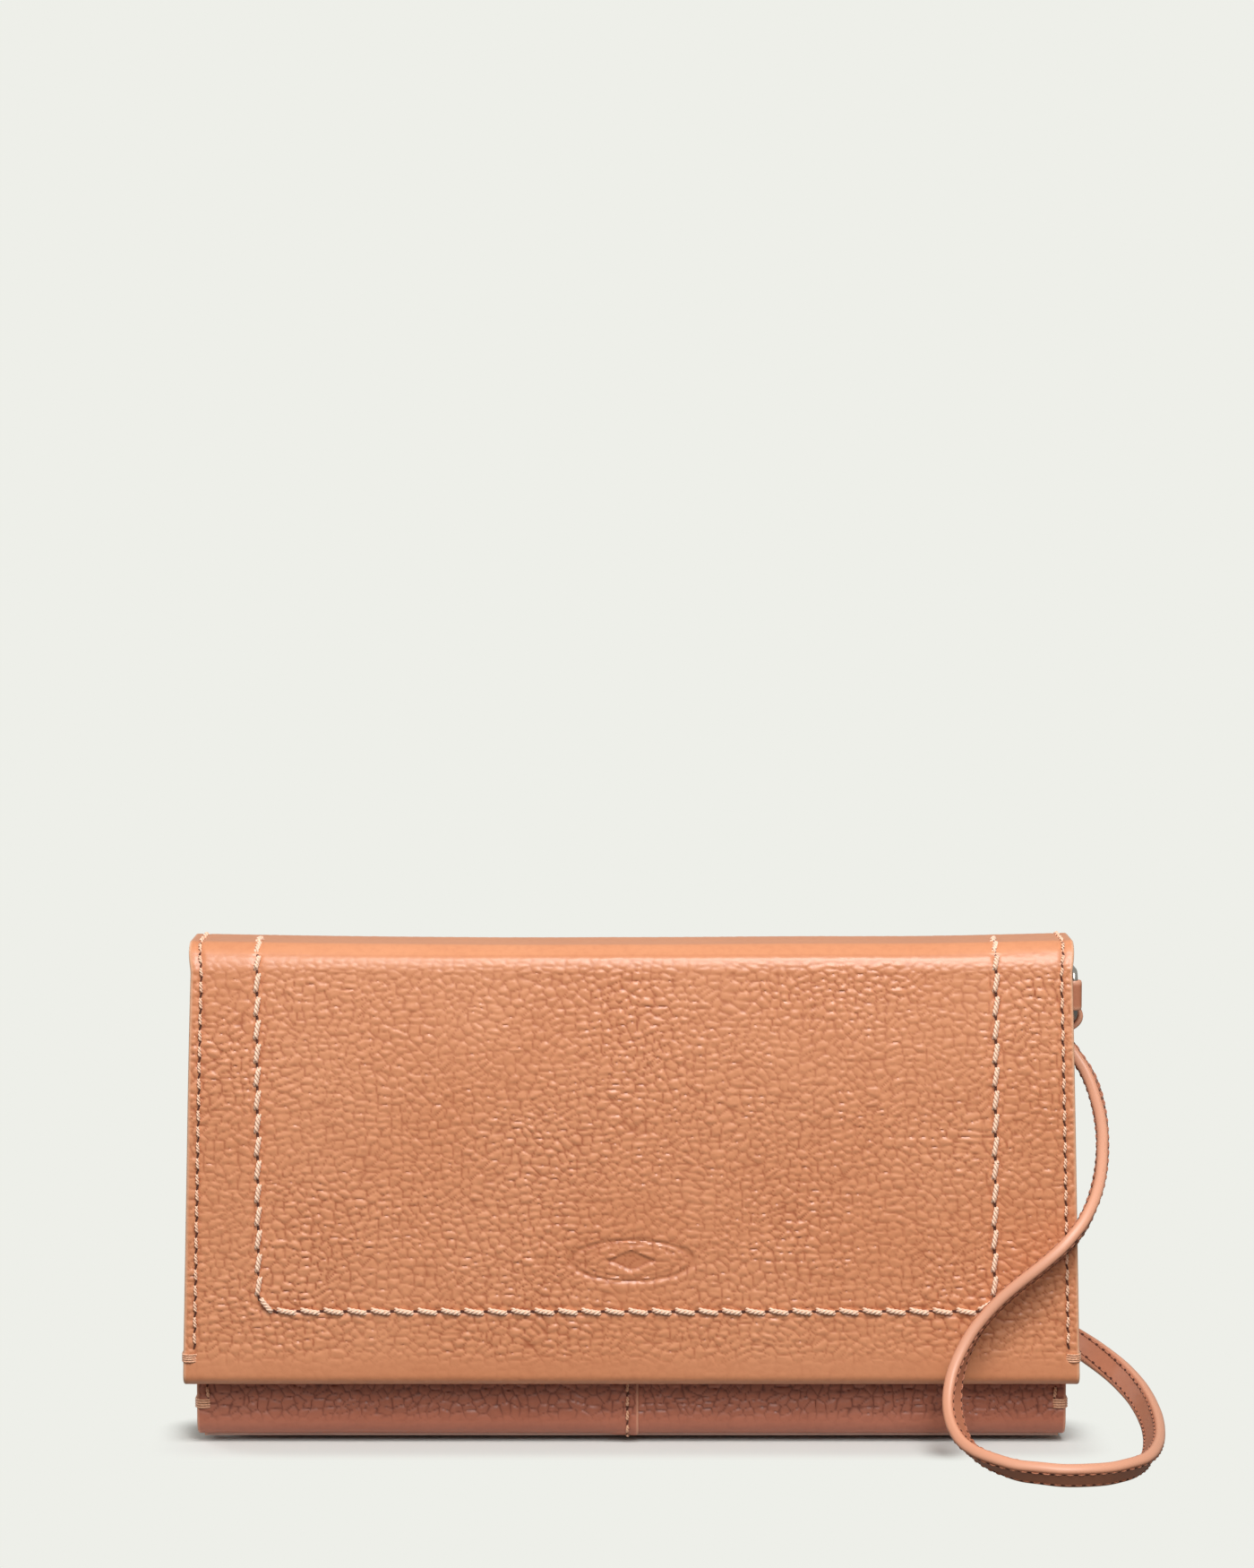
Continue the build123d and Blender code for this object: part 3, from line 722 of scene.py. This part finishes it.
def make_tab():
    """The small tab: one strip that goes round the ring's bar and back in between the layers."""
    low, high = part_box("ring_tab")
    middle_z = (low[2] + high[2]) / 2 / MM
    pin_x = high[0] / MM - 2.3
    pin_y = (low[1] + high[1]) / 2 / MM
    root = low[0] / MM
    turn = np.radians(np.linspace(-125, 125, 14))
    loop = [(pin_x + 1.55 * math.cos(a), pin_y + 1.55 * math.sin(a), middle_z) for a in turn]
    points = [(root, pin_y - 0.35, middle_z), (pin_x - 2.4, pin_y - 0.35, middle_z)]
    points += loop + [(pin_x - 2.4, pin_y + 0.35, middle_z), (root, pin_y + 0.35, middle_z)]
    line, _ = even(np.array(points) * MM, 0.35 * MM)
    return level_ribbon("ring_tab_leather", line, [0.0, 0.0, 1.0], 1.08, 0.24)


tab = make_tab()
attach(tab, "case")
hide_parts("ring_tab")

# ---- outer leather -------------------------------------------------------
def gentle(x, y, z):
    """How far the hide lies off its plain shape: a hollow spine, and a face that leans back at the top."""
    hollow = -1.0 * MM * smooth(TOP_Z - 3 * MM, TOP_Z, z) * (1 - (x / TOP_HALF) ** 2)
    off_face = smooth(FRONT_Y, FRONT_Y + SHOULDER_R, y)
    rise = np.clip((z - LEAN_Z) / (SHOULDER_Z - LEAN_Z), 0, 1)
    face = -FACE_LEAN * rise**2 * (1 - off_face)
    wave = 0.22 * MM * soft_noise(x / (34 * MM) + 5, z / (30 * MM) + 3, 11)
    return hollow + face + wave * smooth(ROLL_Z, ROLL_Z + 12 * MM, z)


def flap_half(z):
    t = np.clip((z - ROLL_Z) / (SHOULDER_Z - ROLL_Z), 0, 1)
    flare = CORNER_FLARE * smooth(SHOULDER_Z, TOP_Z, z)
    return FLAP_LOW_HALF + (TOP_HALF + 0.2 * MM - FLAP_LOW_HALF) * t + flare


def back_half(z):
    t = np.clip(z / SHOULDER_Z, 0, 1)
    flare = CORNER_FLARE * smooth(SHOULDER_Z, TOP_Z, z)
    rounded = 2.0 * MM * (1 - np.sqrt(np.clip(1 - (1 - np.clip(z / (3 * MM), 0, 1)) ** 2, 0, 1)))
    return BACK_LOW_HALF + (TOP_HALF + 0.2 * MM - BACK_LOW_HALF) * t + flare - rounded


def heavy_distance(x, z):
    """Distance from the decorative U of heavy stitches."""
    inside_x = np.maximum(np.maximum(HEAVY_LEFT - x, x - HEAVY_RIGHT), 0)
    left = np.abs(x - HEAVY_LEFT)
    right = np.abs(x - HEAVY_RIGHT)
    upright = np.where(z > HEAVY_Z, np.minimum(left, right), 1.0)
    level = np.where(inside_x < 1e-9, np.abs(z - HEAVY_Z), 1.0)
    return np.minimum(upright, level)


def ornament(x, z):
    """A plain pressed ornament: an oval line round a lozenge, 0 to 1."""
    dx, dz = x / (13.5 * MM), (z - MARK_Z) / (4.6 * MM)
    oval = bell(np.hypot(dx, dz) - 1.0, 0.085)
    inner = bell(np.hypot(dx, dz) - 0.80, 0.05) * 0.6
    diamond = np.abs(dx) / 0.42 + np.abs(dz) / 0.52
    lozenge = smooth(1.10, 0.92, diamond)
    return np.clip(np.maximum(np.maximum(oval, inner), lozenge), 0, 1)


def below_band(z):
    """0 on the smooth band over each shoulder, 1 on the grained face below it."""
    return smooth(TOP_Z - 1.6 * MM, TOP_Z - 9.5 * MM, z)


def flap_relief(grid_x, grid_s, position):
    z, y = position[..., 2], position[..., 1]
    on_front = y < FRONT_Y + FACE_DEPTH
    band = below_band(z) * on_front
    fold = smooth(ROLL_Z + 0.5 * MM, ROLL_Z + 6.5 * MM, z)
    strength = np.maximum(band * fold, 0.12) * np.where(on_front, 1, 0.4)
    strength = strength * (0.85 + 0.25 * soft_noise(grid_x / MM / 18, grid_s / MM / 18, 8))
    height, painted_shade_and_tone = grained(grid_x, grid_s, 21, strength)
    side = np.abs(grid_x) - (flap_half(z) - STITCH_INSET)
    row = bell(side, GROOVE) * smooth(TACK_Z - 1 * MM, TACK_Z, z)
    heavy = bell(heavy_distance(grid_x, z), 0.8 * MM) * on_front
    height = height - 0.22 * MM * row - 0.26 * MM * heavy
    mark = ornament(grid_x, z) * on_front
    height = height * (1 - 0.7 * mark) - 0.42 * MM * mark
    # Painted shade: the smooth band over the shoulder and the roll at the bottom are darkened.
    painted_shade_and_tone = painted_shade_and_tone + 0.18 * (1 - band * fold) * on_front
    # Painted shade in the stitch grooves and in the pressed ornament.
    painted_shade_and_tone = np.clip(painted_shade_and_tone + 0.18 * row + 0.15 * heavy + 0.30 * mark, 0, 1)
    return height, painted_shade_and_tone


def back_relief(grid_x, grid_s, position):
    z, y = position[..., 2], position[..., 1]
    strength = np.maximum(below_band(z) * (y > BACK_Y - FACE_DEPTH), 0.12)
    height, painted_shade_and_tone = grained(grid_x, grid_s, 47, strength)
    side = np.abs(grid_x) - (back_half(z) - STITCH_INSET)
    row = bell(side, GROOVE) * smooth(4 * MM, 6 * MM, z)
    # Painted shade darkens the groove of the stitch row.
    return height - 0.22 * MM * row, np.clip(painted_shade_and_tone + 0.18 * row, 0, 1)


GRID = 0.38 * MM
flap_skin = Skin(
    [
        ("line", (0.0, TOP_Z), (-SPINE_HALF, TOP_Z), 1),
        ("arc", (-SPINE_HALF, SHOULDER_Z), SHOULDER_R, 90, 180),
        ("line", (FRONT_Y, SHOULDER_Z), (FRONT_Y, ROLL_Z), 1),
        ("arc", (FRONT_Y + ROLL_R, ROLL_Z), ROLL_R, 180, 360),
        ("line", (FLAP_BACK_Y, ROLL_Z), (FLAP_BACK_Y, HEM_Z), 1),
    ],
    GRID, lambda z: -flap_half(z), flap_half, gentle,
)
flap_outer = skin_object("flap_outer_leather", flap_skin, SKIN, flap_relief, GRID, TAN)
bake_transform(flap_outer)
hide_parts("flap_leather", "spine_leather")

back_skin = Skin(
    [
        ("line", (0.0, TOP_Z), (SPINE_HALF, TOP_Z), -1),
        ("arc", (SPINE_HALF, SHOULDER_Z), SHOULDER_R, 90, 0),
        ("line", (BACK_Y, SHOULDER_Z), (BACK_Y, 0.0), -1),
    ],
    GRID, lambda z: -back_half(z), back_half, gentle,
)
back_outer = skin_object("back_outer_leather", back_skin, SKIN, back_relief, GRID, TAN)
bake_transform(back_outer)
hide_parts("back_leather")


# ---- thread on the flap and the back -------------------------------------
def stitch_and_hole(skin, x, ends, sink, thread, lean, hole):
    """One twisted stitch between the first two ends, and the needle hole at the third."""
    points, normals = skin.at(x, ends)
    points = points - normals * sink
    stitch = twisted_stitch(points[0], points[1], unit(normals[0] + normals[1]), *thread)
    along = unit(unit(points[1] - points[0]) + np.array([lean * np.sign(points[0][0]), 0, 0]))
    return stitch, dimple(points[2], normals[2], along, *hole)


def row_stitches(skin, x_of, s_from, s_to, pitch, radius, slant):
    """Stitches down a row at a side of a strip: thread between needle holes."""
    count = int((s_to - s_from) / pitch)
    threads, holes = [], []
    for number in range(count):
        ends = s_from + pitch * (number + np.array([0.16, 0.84, 1.0]))
        z = np.interp(ends, skin.s, skin.points[:, 1])
        stitch, hole = stitch_and_hole(
            skin, x_of(z), ends, 0.14 * MM, (radius, 1.5, 2, 12, slant), 0.35, (0.72 * MM, 0.24 * MM)
        )
        threads += stitch
        holes.append(hole)
    return threads, holes


def edge_row(skin, half, side, s_from, s_to):
    """The row of stitches down one side of a strip."""
    return row_stitches(
        skin, lambda z: side * (half(z) - STITCH_INSET), s_from, s_to,
        EDGE_PITCH, EDGE_THREAD_R, side * EDGE_SLANT,
    )


def sew(name, threads, holes, material, place):
    thread = tubes(name + "_thread", threads, material)
    hole = lenses(name + "_needle_holes", holes, NEEDLE_HOLE_SHADE)
    for piece in (thread, hole):
        place(piece)


def on_flap(piece):
    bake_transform(piece)


def on_back(piece):
    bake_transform(piece)


def heavy_row():
    """The decorative U: down the left, along the bottom, up the right, over the spine's edge."""
    corner = HEAVY_CORNER
    top_s = 1.0 * MM
    low_s = flap_skin.s_at_height(HEAVY_Z)
    turn = np.radians(np.linspace(0, 90, 9))
    left = [(HEAVY_LEFT, s) for s in np.linspace(top_s, low_s - corner, 60)]
    near, far = corner * (1 - np.cos(turn)), corner * (1 - np.sin(turn))
    bend_left = list(zip(HEAVY_LEFT + near, low_s - far))
    bend_right = list(zip(HEAVY_RIGHT - far, low_s - near))
    right = [(HEAVY_RIGHT, s) for s in np.linspace(low_s - corner, top_s, 60)]
    row = np.array(left + bend_left[1:] + bend_right + right[1:])
    length = path_length(row)
    count = int(length[-1] / HEAVY_PITCH)
    pitch = length[-1] / count
    threads, holes = [], []
    for number in range(count):
        places = (number + np.array([0.07, 0.93, 1.0])) * pitch
        x, s = np.interp(places, length, row[:, 0]), np.interp(places, length, row[:, 1])
        thread = (0.60 * MM, 1.6, 3, 18, 0.8 * MM)
        stitch, hole = stitch_and_hole(flap_skin, x, s, 0.16 * MM, thread, 0, (0.80 * MM, 0.32 * MM))
        threads += stitch
        holes.append(hole)
    return threads, holes


def bar_tack(side):
    """Threads laid side by side from the edge row over the side edge and round to the inside."""
    threads = []
    s = flap_skin.s_at_height(TACK_Z)
    for number in range(4):
        place = s + (number - 1.5) * 0.50 * MM
        sway = 0.16 * MM * math.sin(2.1 * number + side)
        half = float(flap_half(TACK_Z))
        inner_end = half - STITCH_INSET - 0.4 * MM + sway
        xs = side * np.array([inner_end, half - 1.6 * MM, half - 0.7 * MM, half - 0.15 * MM])
        points, normals = flap_skin.at(xs, np.full(4, place))
        lifts = np.array([-0.35, 0.34, 0.20, -0.02]) * MM
        points = points + normals * lifts[:, None]
        z = points[-1][2]
        wrap = [
            (side * (half + 0.22 * MM), FRONT_Y + 1.2 * MM, z),
            (side * (half + 0.22 * MM), FLAP_BACK_Y - 1.0 * MM, z),
            (side * (half - 0.2 * MM), FLAP_BACK_Y + 0.12 * MM, z),
            (side * (half - 2.2 * MM), FLAP_BACK_Y - 0.2 * MM, z),
        ]
        threads.append(strand(np.concatenate([points, np.array(wrap)]), 0.23 * MM))
    return threads


flap_threads, flap_holes, flap_tacks = [], [], []
for side in (-1, 1):
    threads, holes = edge_row(flap_skin, flap_half, side, 0.6 * MM, flap_skin.s_at_height(TACK_Z))
    flap_threads += threads
    flap_tacks += bar_tack(side)
    flap_holes += holes
sew("flap_edge", flap_threads, flap_holes, EDGE_THREAD, on_flap)
tacks = tubes("flap_bar_tacks", flap_tacks, TACK_THREAD)
on_flap(tacks)
heavy_threads, heavy_holes = heavy_row()
sew("flap_heavy", heavy_threads, heavy_holes, THREAD, on_flap)
back_threads, back_holes = [], []
for side in (-1, 1):
    threads, holes = edge_row(back_skin, back_half, side, 0.6 * MM, back_skin.s[-1] - 5 * MM)
    back_threads += threads
    back_holes += holes
sew("back_edge", back_threads, back_holes, EDGE_THREAD, on_back)

# ---- middle leaf ---------------------------------------------------------
POUCH_FRONT_Y, POUCH_BACK_Y = POUCH_LOW[1], POUCH_HIGH[1]
POUCH_T = 1.3 * MM
POUCH_R = 4.2 * MM
POUCH_FLOOR = 1.8 * MM
POUCH_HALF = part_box("pouch_right")[1][0] - 0.6 * MM
FRONT_POCKET_Z = 58.0 * MM
SEAM_X = POUCH_HIGH[0]
SEAM_LAP = 1.2 * MM
SEAM_ROW_X = SEAM_X - 1.9 * MM


def plain_lift(x, y, z):
    return 0.0 * x


def pouch_path():
    front, back, r, low = POUCH_FRONT_Y, POUCH_BACK_Y, POUCH_R, POUCH_FLOOR
    return [
        ("line", (front, FRONT_POCKET_Z), (front, low + r), 1),
        ("arc", (front + r, low + r), r, 180, 270),
        ("line", (front + r, low), (back - r, low), 1),
        ("arc", (back - r, low + r), r, 270, 360),
        ("line", (back, low + r), (back, POUCH_HIGH[2]), 1),
    ]


def pouch_relief(seed):
    def relief(grid_x, grid_s, position):
        z, y = position[..., 2], position[..., 1]
        strength = np.maximum(smooth(4.5 * MM, 8.5 * MM, z) * (y < 0), 0.10)
        height, painted_shade_and_tone = grained(grid_x, grid_s, seed, strength)
        side = np.abs(grid_x) - (POUCH_HALF - STITCH_INSET)
        row = bell(side, GROOVE) * (z > 8 * MM)
        seam = bell(grid_x - SEAM_ROW_X, 0.6 * MM) * (y < 0)
        # Painted shade darkens the grooves of the stitch rows and the seam.
        return height - 0.2 * MM * (row + seam), np.clip(painted_shade_and_tone + 0.2 * (row + seam), 0, 1)
    return relief


def seam_lift(x, y, z):
    """The left half lies on top of the right one at the seam, and thins out away from it."""
    return 0.55 * MM * smooth(SEAM_X - 9 * MM, SEAM_X - 1 * MM, x)


pouch_left_skin = Skin(
    pouch_path(), GRID, fixed(-POUCH_HALF), fixed(SEAM_X + 0.6 * MM), seam_lift
)
pouch_right_skin = Skin(
    pouch_path(), GRID, fixed(SEAM_X - SEAM_LAP), fixed(POUCH_HALF), plain_lift
)
# The middle leaf wears the darker copy of the tan leather, painted shade under the flap.
pouch_left = skin_object("pouch_left_leather", pouch_left_skin, POUCH_T, pouch_relief(61), GRID, SHADED)
pouch_right = skin_object("pouch_right_leather", pouch_right_skin, POUCH_T, pouch_relief(83), GRID, SHADED)
for piece, node in ((pouch_left, "pouch_left"), (pouch_right, "pouch_right")):
    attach(piece, "case")
    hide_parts(node)

pouch_threads, pouch_holes = [], []
s_low = pouch_left_skin.s_at_height(9.5 * MM)
for side, skin in ((-1, pouch_left_skin), (1, pouch_right_skin)):
    threads, holes = edge_row(skin, fixed(POUCH_HALF), side, 1 * MM, s_low)
    pouch_threads += threads
    pouch_holes += holes
    for number in range(4):
        z = 8.6 * MM + number * 0.55 * MM
        half = POUCH_HALF
        line = [
            (side * (half - STITCH_INSET - 0.4 * MM), POUCH_FRONT_Y + 0.3 * MM, z),
            (side * (half - 1.6 * MM), POUCH_FRONT_Y - 0.22 * MM, z),
            (side * (half - 0.3 * MM), POUCH_FRONT_Y - 0.12 * MM, z),
            (side * (half + 0.28 * MM), POUCH_FRONT_Y + 1.2 * MM, z),
            (side * (half + 0.28 * MM), POUCH_BACK_Y - 1.2 * MM, z),
            (side * (half - 0.3 * MM), POUCH_BACK_Y + 0.1 * MM, z),
        ]
        pouch_threads.append(strand(line, 0.25 * MM))
threads, holes = row_stitches(
    pouch_left_skin, fixed(SEAM_ROW_X), 1 * MM, pouch_left_skin.s[-1] * 0.46,
    EDGE_PITCH * 0.9, 0.38 * MM, 0.2 * MM,
)
pouch_threads += threads
pouch_holes += holes
sew("pouch", pouch_threads, pouch_holes, TACK_THREAD, lambda piece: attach(piece, "case"))


# ---- inner layers --------------------------------------------------------
LAYER_STEP = 1.5 * MM


def inner_relief(seed, mouth_z=None):
    """Nearly smooth leather with random tone, and a pressed line below a pocket's mouth darkened with
    painted shade.
    """
    def relief(grid_x, grid_s, position):
        x_mm, s_mm = grid_x / MM, grid_s / MM
        height = 0.06 * MM * soft_noise(x_mm / 12, s_mm / 12, seed)
        painted_shade_and_tone = 0.10 + 0.10 * soft_noise(x_mm / 9, s_mm / 7, seed + 1)
        if mouth_z is not None:
            line = bell(position[..., 2] - mouth_z + 2.0 * MM, 0.55 * MM)
            height = height - 0.10 * MM * line
            # Painted shade in the pressed line.
            painted_shade_and_tone = painted_shade_and_tone + 0.5 * line
        return height, np.clip(painted_shade_and_tone, 0, 1)
    return relief


def layer(name, node, low_x, high_x, material, joint, seed, slot, top=None):
    """A flat layer with rounded sides and a rounded top, in the place of its CAD box."""
    low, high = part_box(node)
    y0, y1, z0, z1 = low[1], high[1], low[2], top or high[2]
    r = (y1 - y0) / 2
    pieces = [
        ("line", (y1, z0), (y1, z1 - r), 1), ("arc", (y0 + r, z1 - r), r, 0, 180),
        ("line", (y0, z1 - r), (y0, z0), 1),
    ]
    skin = Skin(pieces, LAYER_STEP, low_x, high_x, plain_lift)
    obj = skin_object(
        name, skin, r * 0.96, inner_relief(seed, high[2]), LAYER_STEP, material, min(r * 0.9, 0.5 * MM)
    )
    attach(obj, joint)
    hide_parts(node)
    return obj


for number, side_name in enumerate(("left", "right")):
    for row in (1, 2, 3):
        node = "card_pocket_" + side_name + "_" + str(row)
        low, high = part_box(node)
        layer("card_leather_" + side_name + "_" + str(row), node, fixed(low[0]), fixed(high[0]),
              LINING, "case", 100 + 10 * number + row, "lining_leather")
for node, seed in (("coin_wall", 131), ("note_gusset_left", 132), ("note_gusset_right", 133),
                   ("coin_gusset_left", 134), ("coin_gusset_right", 135), ("note_floor", 136)):
    low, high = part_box(node)
    layer(node + "_leather", node, fixed(low[0]), fixed(high[0]), LINING, "case", seed, "lining_leather")


def inside_flap(inset):
    return (lambda z: inset - flap_half(z)), (lambda z: flap_half(z) - inset)


def inside_back(inset):
    return (lambda z: inset - back_half(z)), (lambda z: back_half(z) - inset)


layer("flap_felt", "flap_padding", *inside_flap(0.5 * MM), FELT, "flap", 141, "padding", 90 * MM)
layer("flap_stiffener", "flap_board", *inside_flap(0.45 * MM), BOARD, "flap", 142, "stiffener")
layer("back_stiffener", "back_board", *inside_back(2.4 * MM), BOARD, "case", 143, "stiffener")


def inner_bend(centre, radius, begin, finish):
    """A bend whose visible side is its hollow side, as short lines."""
    angles = np.radians(np.linspace(begin, finish, 9))
    ends = [(centre[0] + radius * math.cos(a), centre[1] + radius * math.sin(a)) for a in angles]
    return [("line", start, end, 1) for start, end in zip(ends, ends[1:])]


def inner_linings():
    """The linings run without a gap from the flap and from the back leaf to the middle of the spine."""
    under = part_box("spine_lining")[0][2]
    flap_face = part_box("flap_lining")[1][1]
    back_face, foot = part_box("back_lining")[0][1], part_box("back_lining")[0][2]
    bend = 5.2 * MM
    knee = under - bend
    front_path = [("line", (flap_face, HEM_Z + 0.2 * MM), (flap_face, knee), 1)]
    front_path += inner_bend((flap_face + bend, knee), bend, 180, 90)
    front_path += [("line", (flap_face + bend, under), (0.0, under), 1)]
    back_path = [("line", (0.0, under), (back_face - bend, under), 1)]
    back_path += inner_bend((back_face - bend, knee), bend, 90, 0)
    back_path += [("line", (back_face, knee), (back_face, foot), 1)]
    front_skin = Skin(front_path, LAYER_STEP, *inside_flap(0.4 * MM), plain_lift)
    back_skin_inner = Skin(back_path, LAYER_STEP, *inside_back(0.4 * MM), plain_lift)
    front = skin_object(
        "flap_inner_lining", front_skin, 0.75 * MM, inner_relief(151), LAYER_STEP, LINING, 0.4 * MM
    )
    back = skin_object(
        "back_inner_lining", back_skin_inner, 0.75 * MM, inner_relief(152), LAYER_STEP, LINING, 0.4 * MM
    )
    on_flap(front)
    on_back(back)
    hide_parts("flap_lining", "spine_lining")
    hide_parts("back_lining")


inner_linings()


def zip_teeth(name, node, side):
    """A row of nylon loops, each one a small closed hoop that hooks over the closing line."""
    low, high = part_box(node)
    middle_z = (low[2] + high[2]) / 2
    pitch = 1.5 * MM
    count = int((high[0] - low[0]) / pitch)
    inner_y = high[1] if side < 0 else low[1]
    outer_y = low[1] if side < 0 else high[1]
    loops = []
    for number in range(count):
        x = low[0] + (number + (0.3 if side < 0 else 0.8)) * pitch
        turn = np.linspace(0.0, 2 * math.pi * 0.94, 9)
        y = (inner_y + outer_y) / 2 + abs(outer_y - inner_y) * 0.62 * np.cos(turn)
        z = middle_z + (high[2] - low[2]) * 0.30 * np.sin(turn)
        xs = x + pitch * 0.30 * (turn / 6.28 - 0.5)
        loops.append((np.stack([xs, y, z], 1), np.full(9, 0.27 * MM)))
    teeth = tubes(name, loops, COIL, 5)
    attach(teeth, "case")
    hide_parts(node)


zip_teeth("zip_teeth_front", "zip_coil_front", -1)
zip_teeth("zip_teeth_rear", "zip_coil_rear", 1)


# ---- CAD pieces with their own finish ------------------------------------
def finish_node(material, *names):
    for name in names:
        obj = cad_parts[name]
        obj.data.materials.clear()
        obj.data.materials.append(material)


finish_node(NICKEL, "snap_socket", "snap_stud", "zip_stop_closed_end", "zip_stop_open_end",
            "zip_slider", "zip_pull_pin", "zip_pull", "strap_ring")
finish_node(TAPE, "zip_tape_front", "zip_tape_rear")


# ---- floor, backdrop and light -------------------------------------------
BACKDROP = linear(238, 239, 233)
FLOOR_COLOUR = (0.66, 0.67, 0.65, 1)
AMBIENT = 0.46
BOUNCE = 0.18


def floor_material():
    """Pale matt paper near the object, which runs out into the plain backdrop's colour further away."""
    material, nodes, links, shader = new_material("pale_floor")
    put(shader, Base_Color=FLOOR_COLOUR, Roughness=0.9, Specular_IOR_Level=0.05)
    place = nodes.new("ShaderNodeTexCoord")
    last = place.outputs["Object"]
    for operation, amount in (("ABSOLUTE", None), ("SUBTRACT", (0.097, 0.010, 0)), ("MAXIMUM", (0, 0, 0))):
        step = nodes.new("ShaderNodeVectorMath")
        step.operation = operation
        links.new(last, step.inputs[0])
        if amount is not None:
            step.inputs[1].default_value = amount
        last = step.outputs["Vector"]
    length = nodes.new("ShaderNodeVectorMath")
    length.operation = "LENGTH"
    links.new(last, length.inputs[0])
    away = nodes.new("ShaderNodeMapRange")
    away.interpolation_type = "SMOOTHSTEP"
    put(away, From_Min=0.002, From_Max=0.013)
    links.new(length.outputs["Value"], away.inputs["Value"])
    plain = nodes.new("ShaderNodeEmission")
    put(plain, Color=BACKDROP)
    rays = nodes.new("ShaderNodeLightPath")
    glow = ramp(nodes, links, rays.outputs["Is Camera Ray"], 0.0, 1.0, BOUNCE, 1.0)
    links.new(glow, plain.inputs["Strength"])
    mix = nodes.new("ShaderNodeMixShader")
    links.new(away.outputs["Result"], mix.inputs["Fac"])
    links.new(shader.outputs["BSDF"], mix.inputs[1])
    links.new(plain.outputs["Emission"], mix.inputs[2])
    links.new(mix.outputs["Shader"], nodes["Material Output"].inputs["Surface"])
    return material


def floor():
    material = floor_material()
    size = 60.0
    corners = [(-size, -size, 0), (size, -size, 0), (size, size, 0), (-size, size, 0)]
    plane = mesh_object("floor", corners, [(0, 1, 2, 3)], material)
    plane.location.z = -0.05 * MM


def area_light(name, place, target, size, power):
    data = bpy.data.lights.new(name, "AREA")
    data.shape = "RECTANGLE"
    data.size, data.size_y = size
    data.energy = power
    light = new_object(name, data)
    light.location = place
    light.rotation_euler = (Vector(target) - Vector(place)).to_track_quat("-Z", "Y").to_euler()


def studio_world():
    """The camera sees the plain backdrop, and the object gets a softer light from it."""
    world = bpy.data.worlds.new("studio")
    world.use_nodes = True
    nodes, links = world.node_tree.nodes, world.node_tree.links
    background = nodes["Background"]
    put(background, Color=BACKDROP)
    rays = nodes.new("ShaderNodeLightPath")
    strength = ramp(nodes, links, rays.outputs["Is Camera Ray"], 0.0, 1.0, AMBIENT, 1.0)
    links.new(strength, background.inputs["Strength"])
    bpy.context.scene.world = world


floor()
studio_world()
bpy.context.scene.view_settings.view_transform = "Standard"
area_light("key", (0.10, -0.72, 1.02), (0, 0, 0.06), (0.46, 0.30), 11.0)
area_light("front", (0.20, -1.25, 0.92), (0, 0, 0.08), (0.45, 0.45), 9.0)
area_light("rear", (-1.00, 0.75, 0.55), (0, 0, 0.06), (0.6, 0.6), 4.5)
area_light("fill", (-0.7, -1.0, 0.45), (0, 0, 0.06), (0.6, 0.6), 1.2)
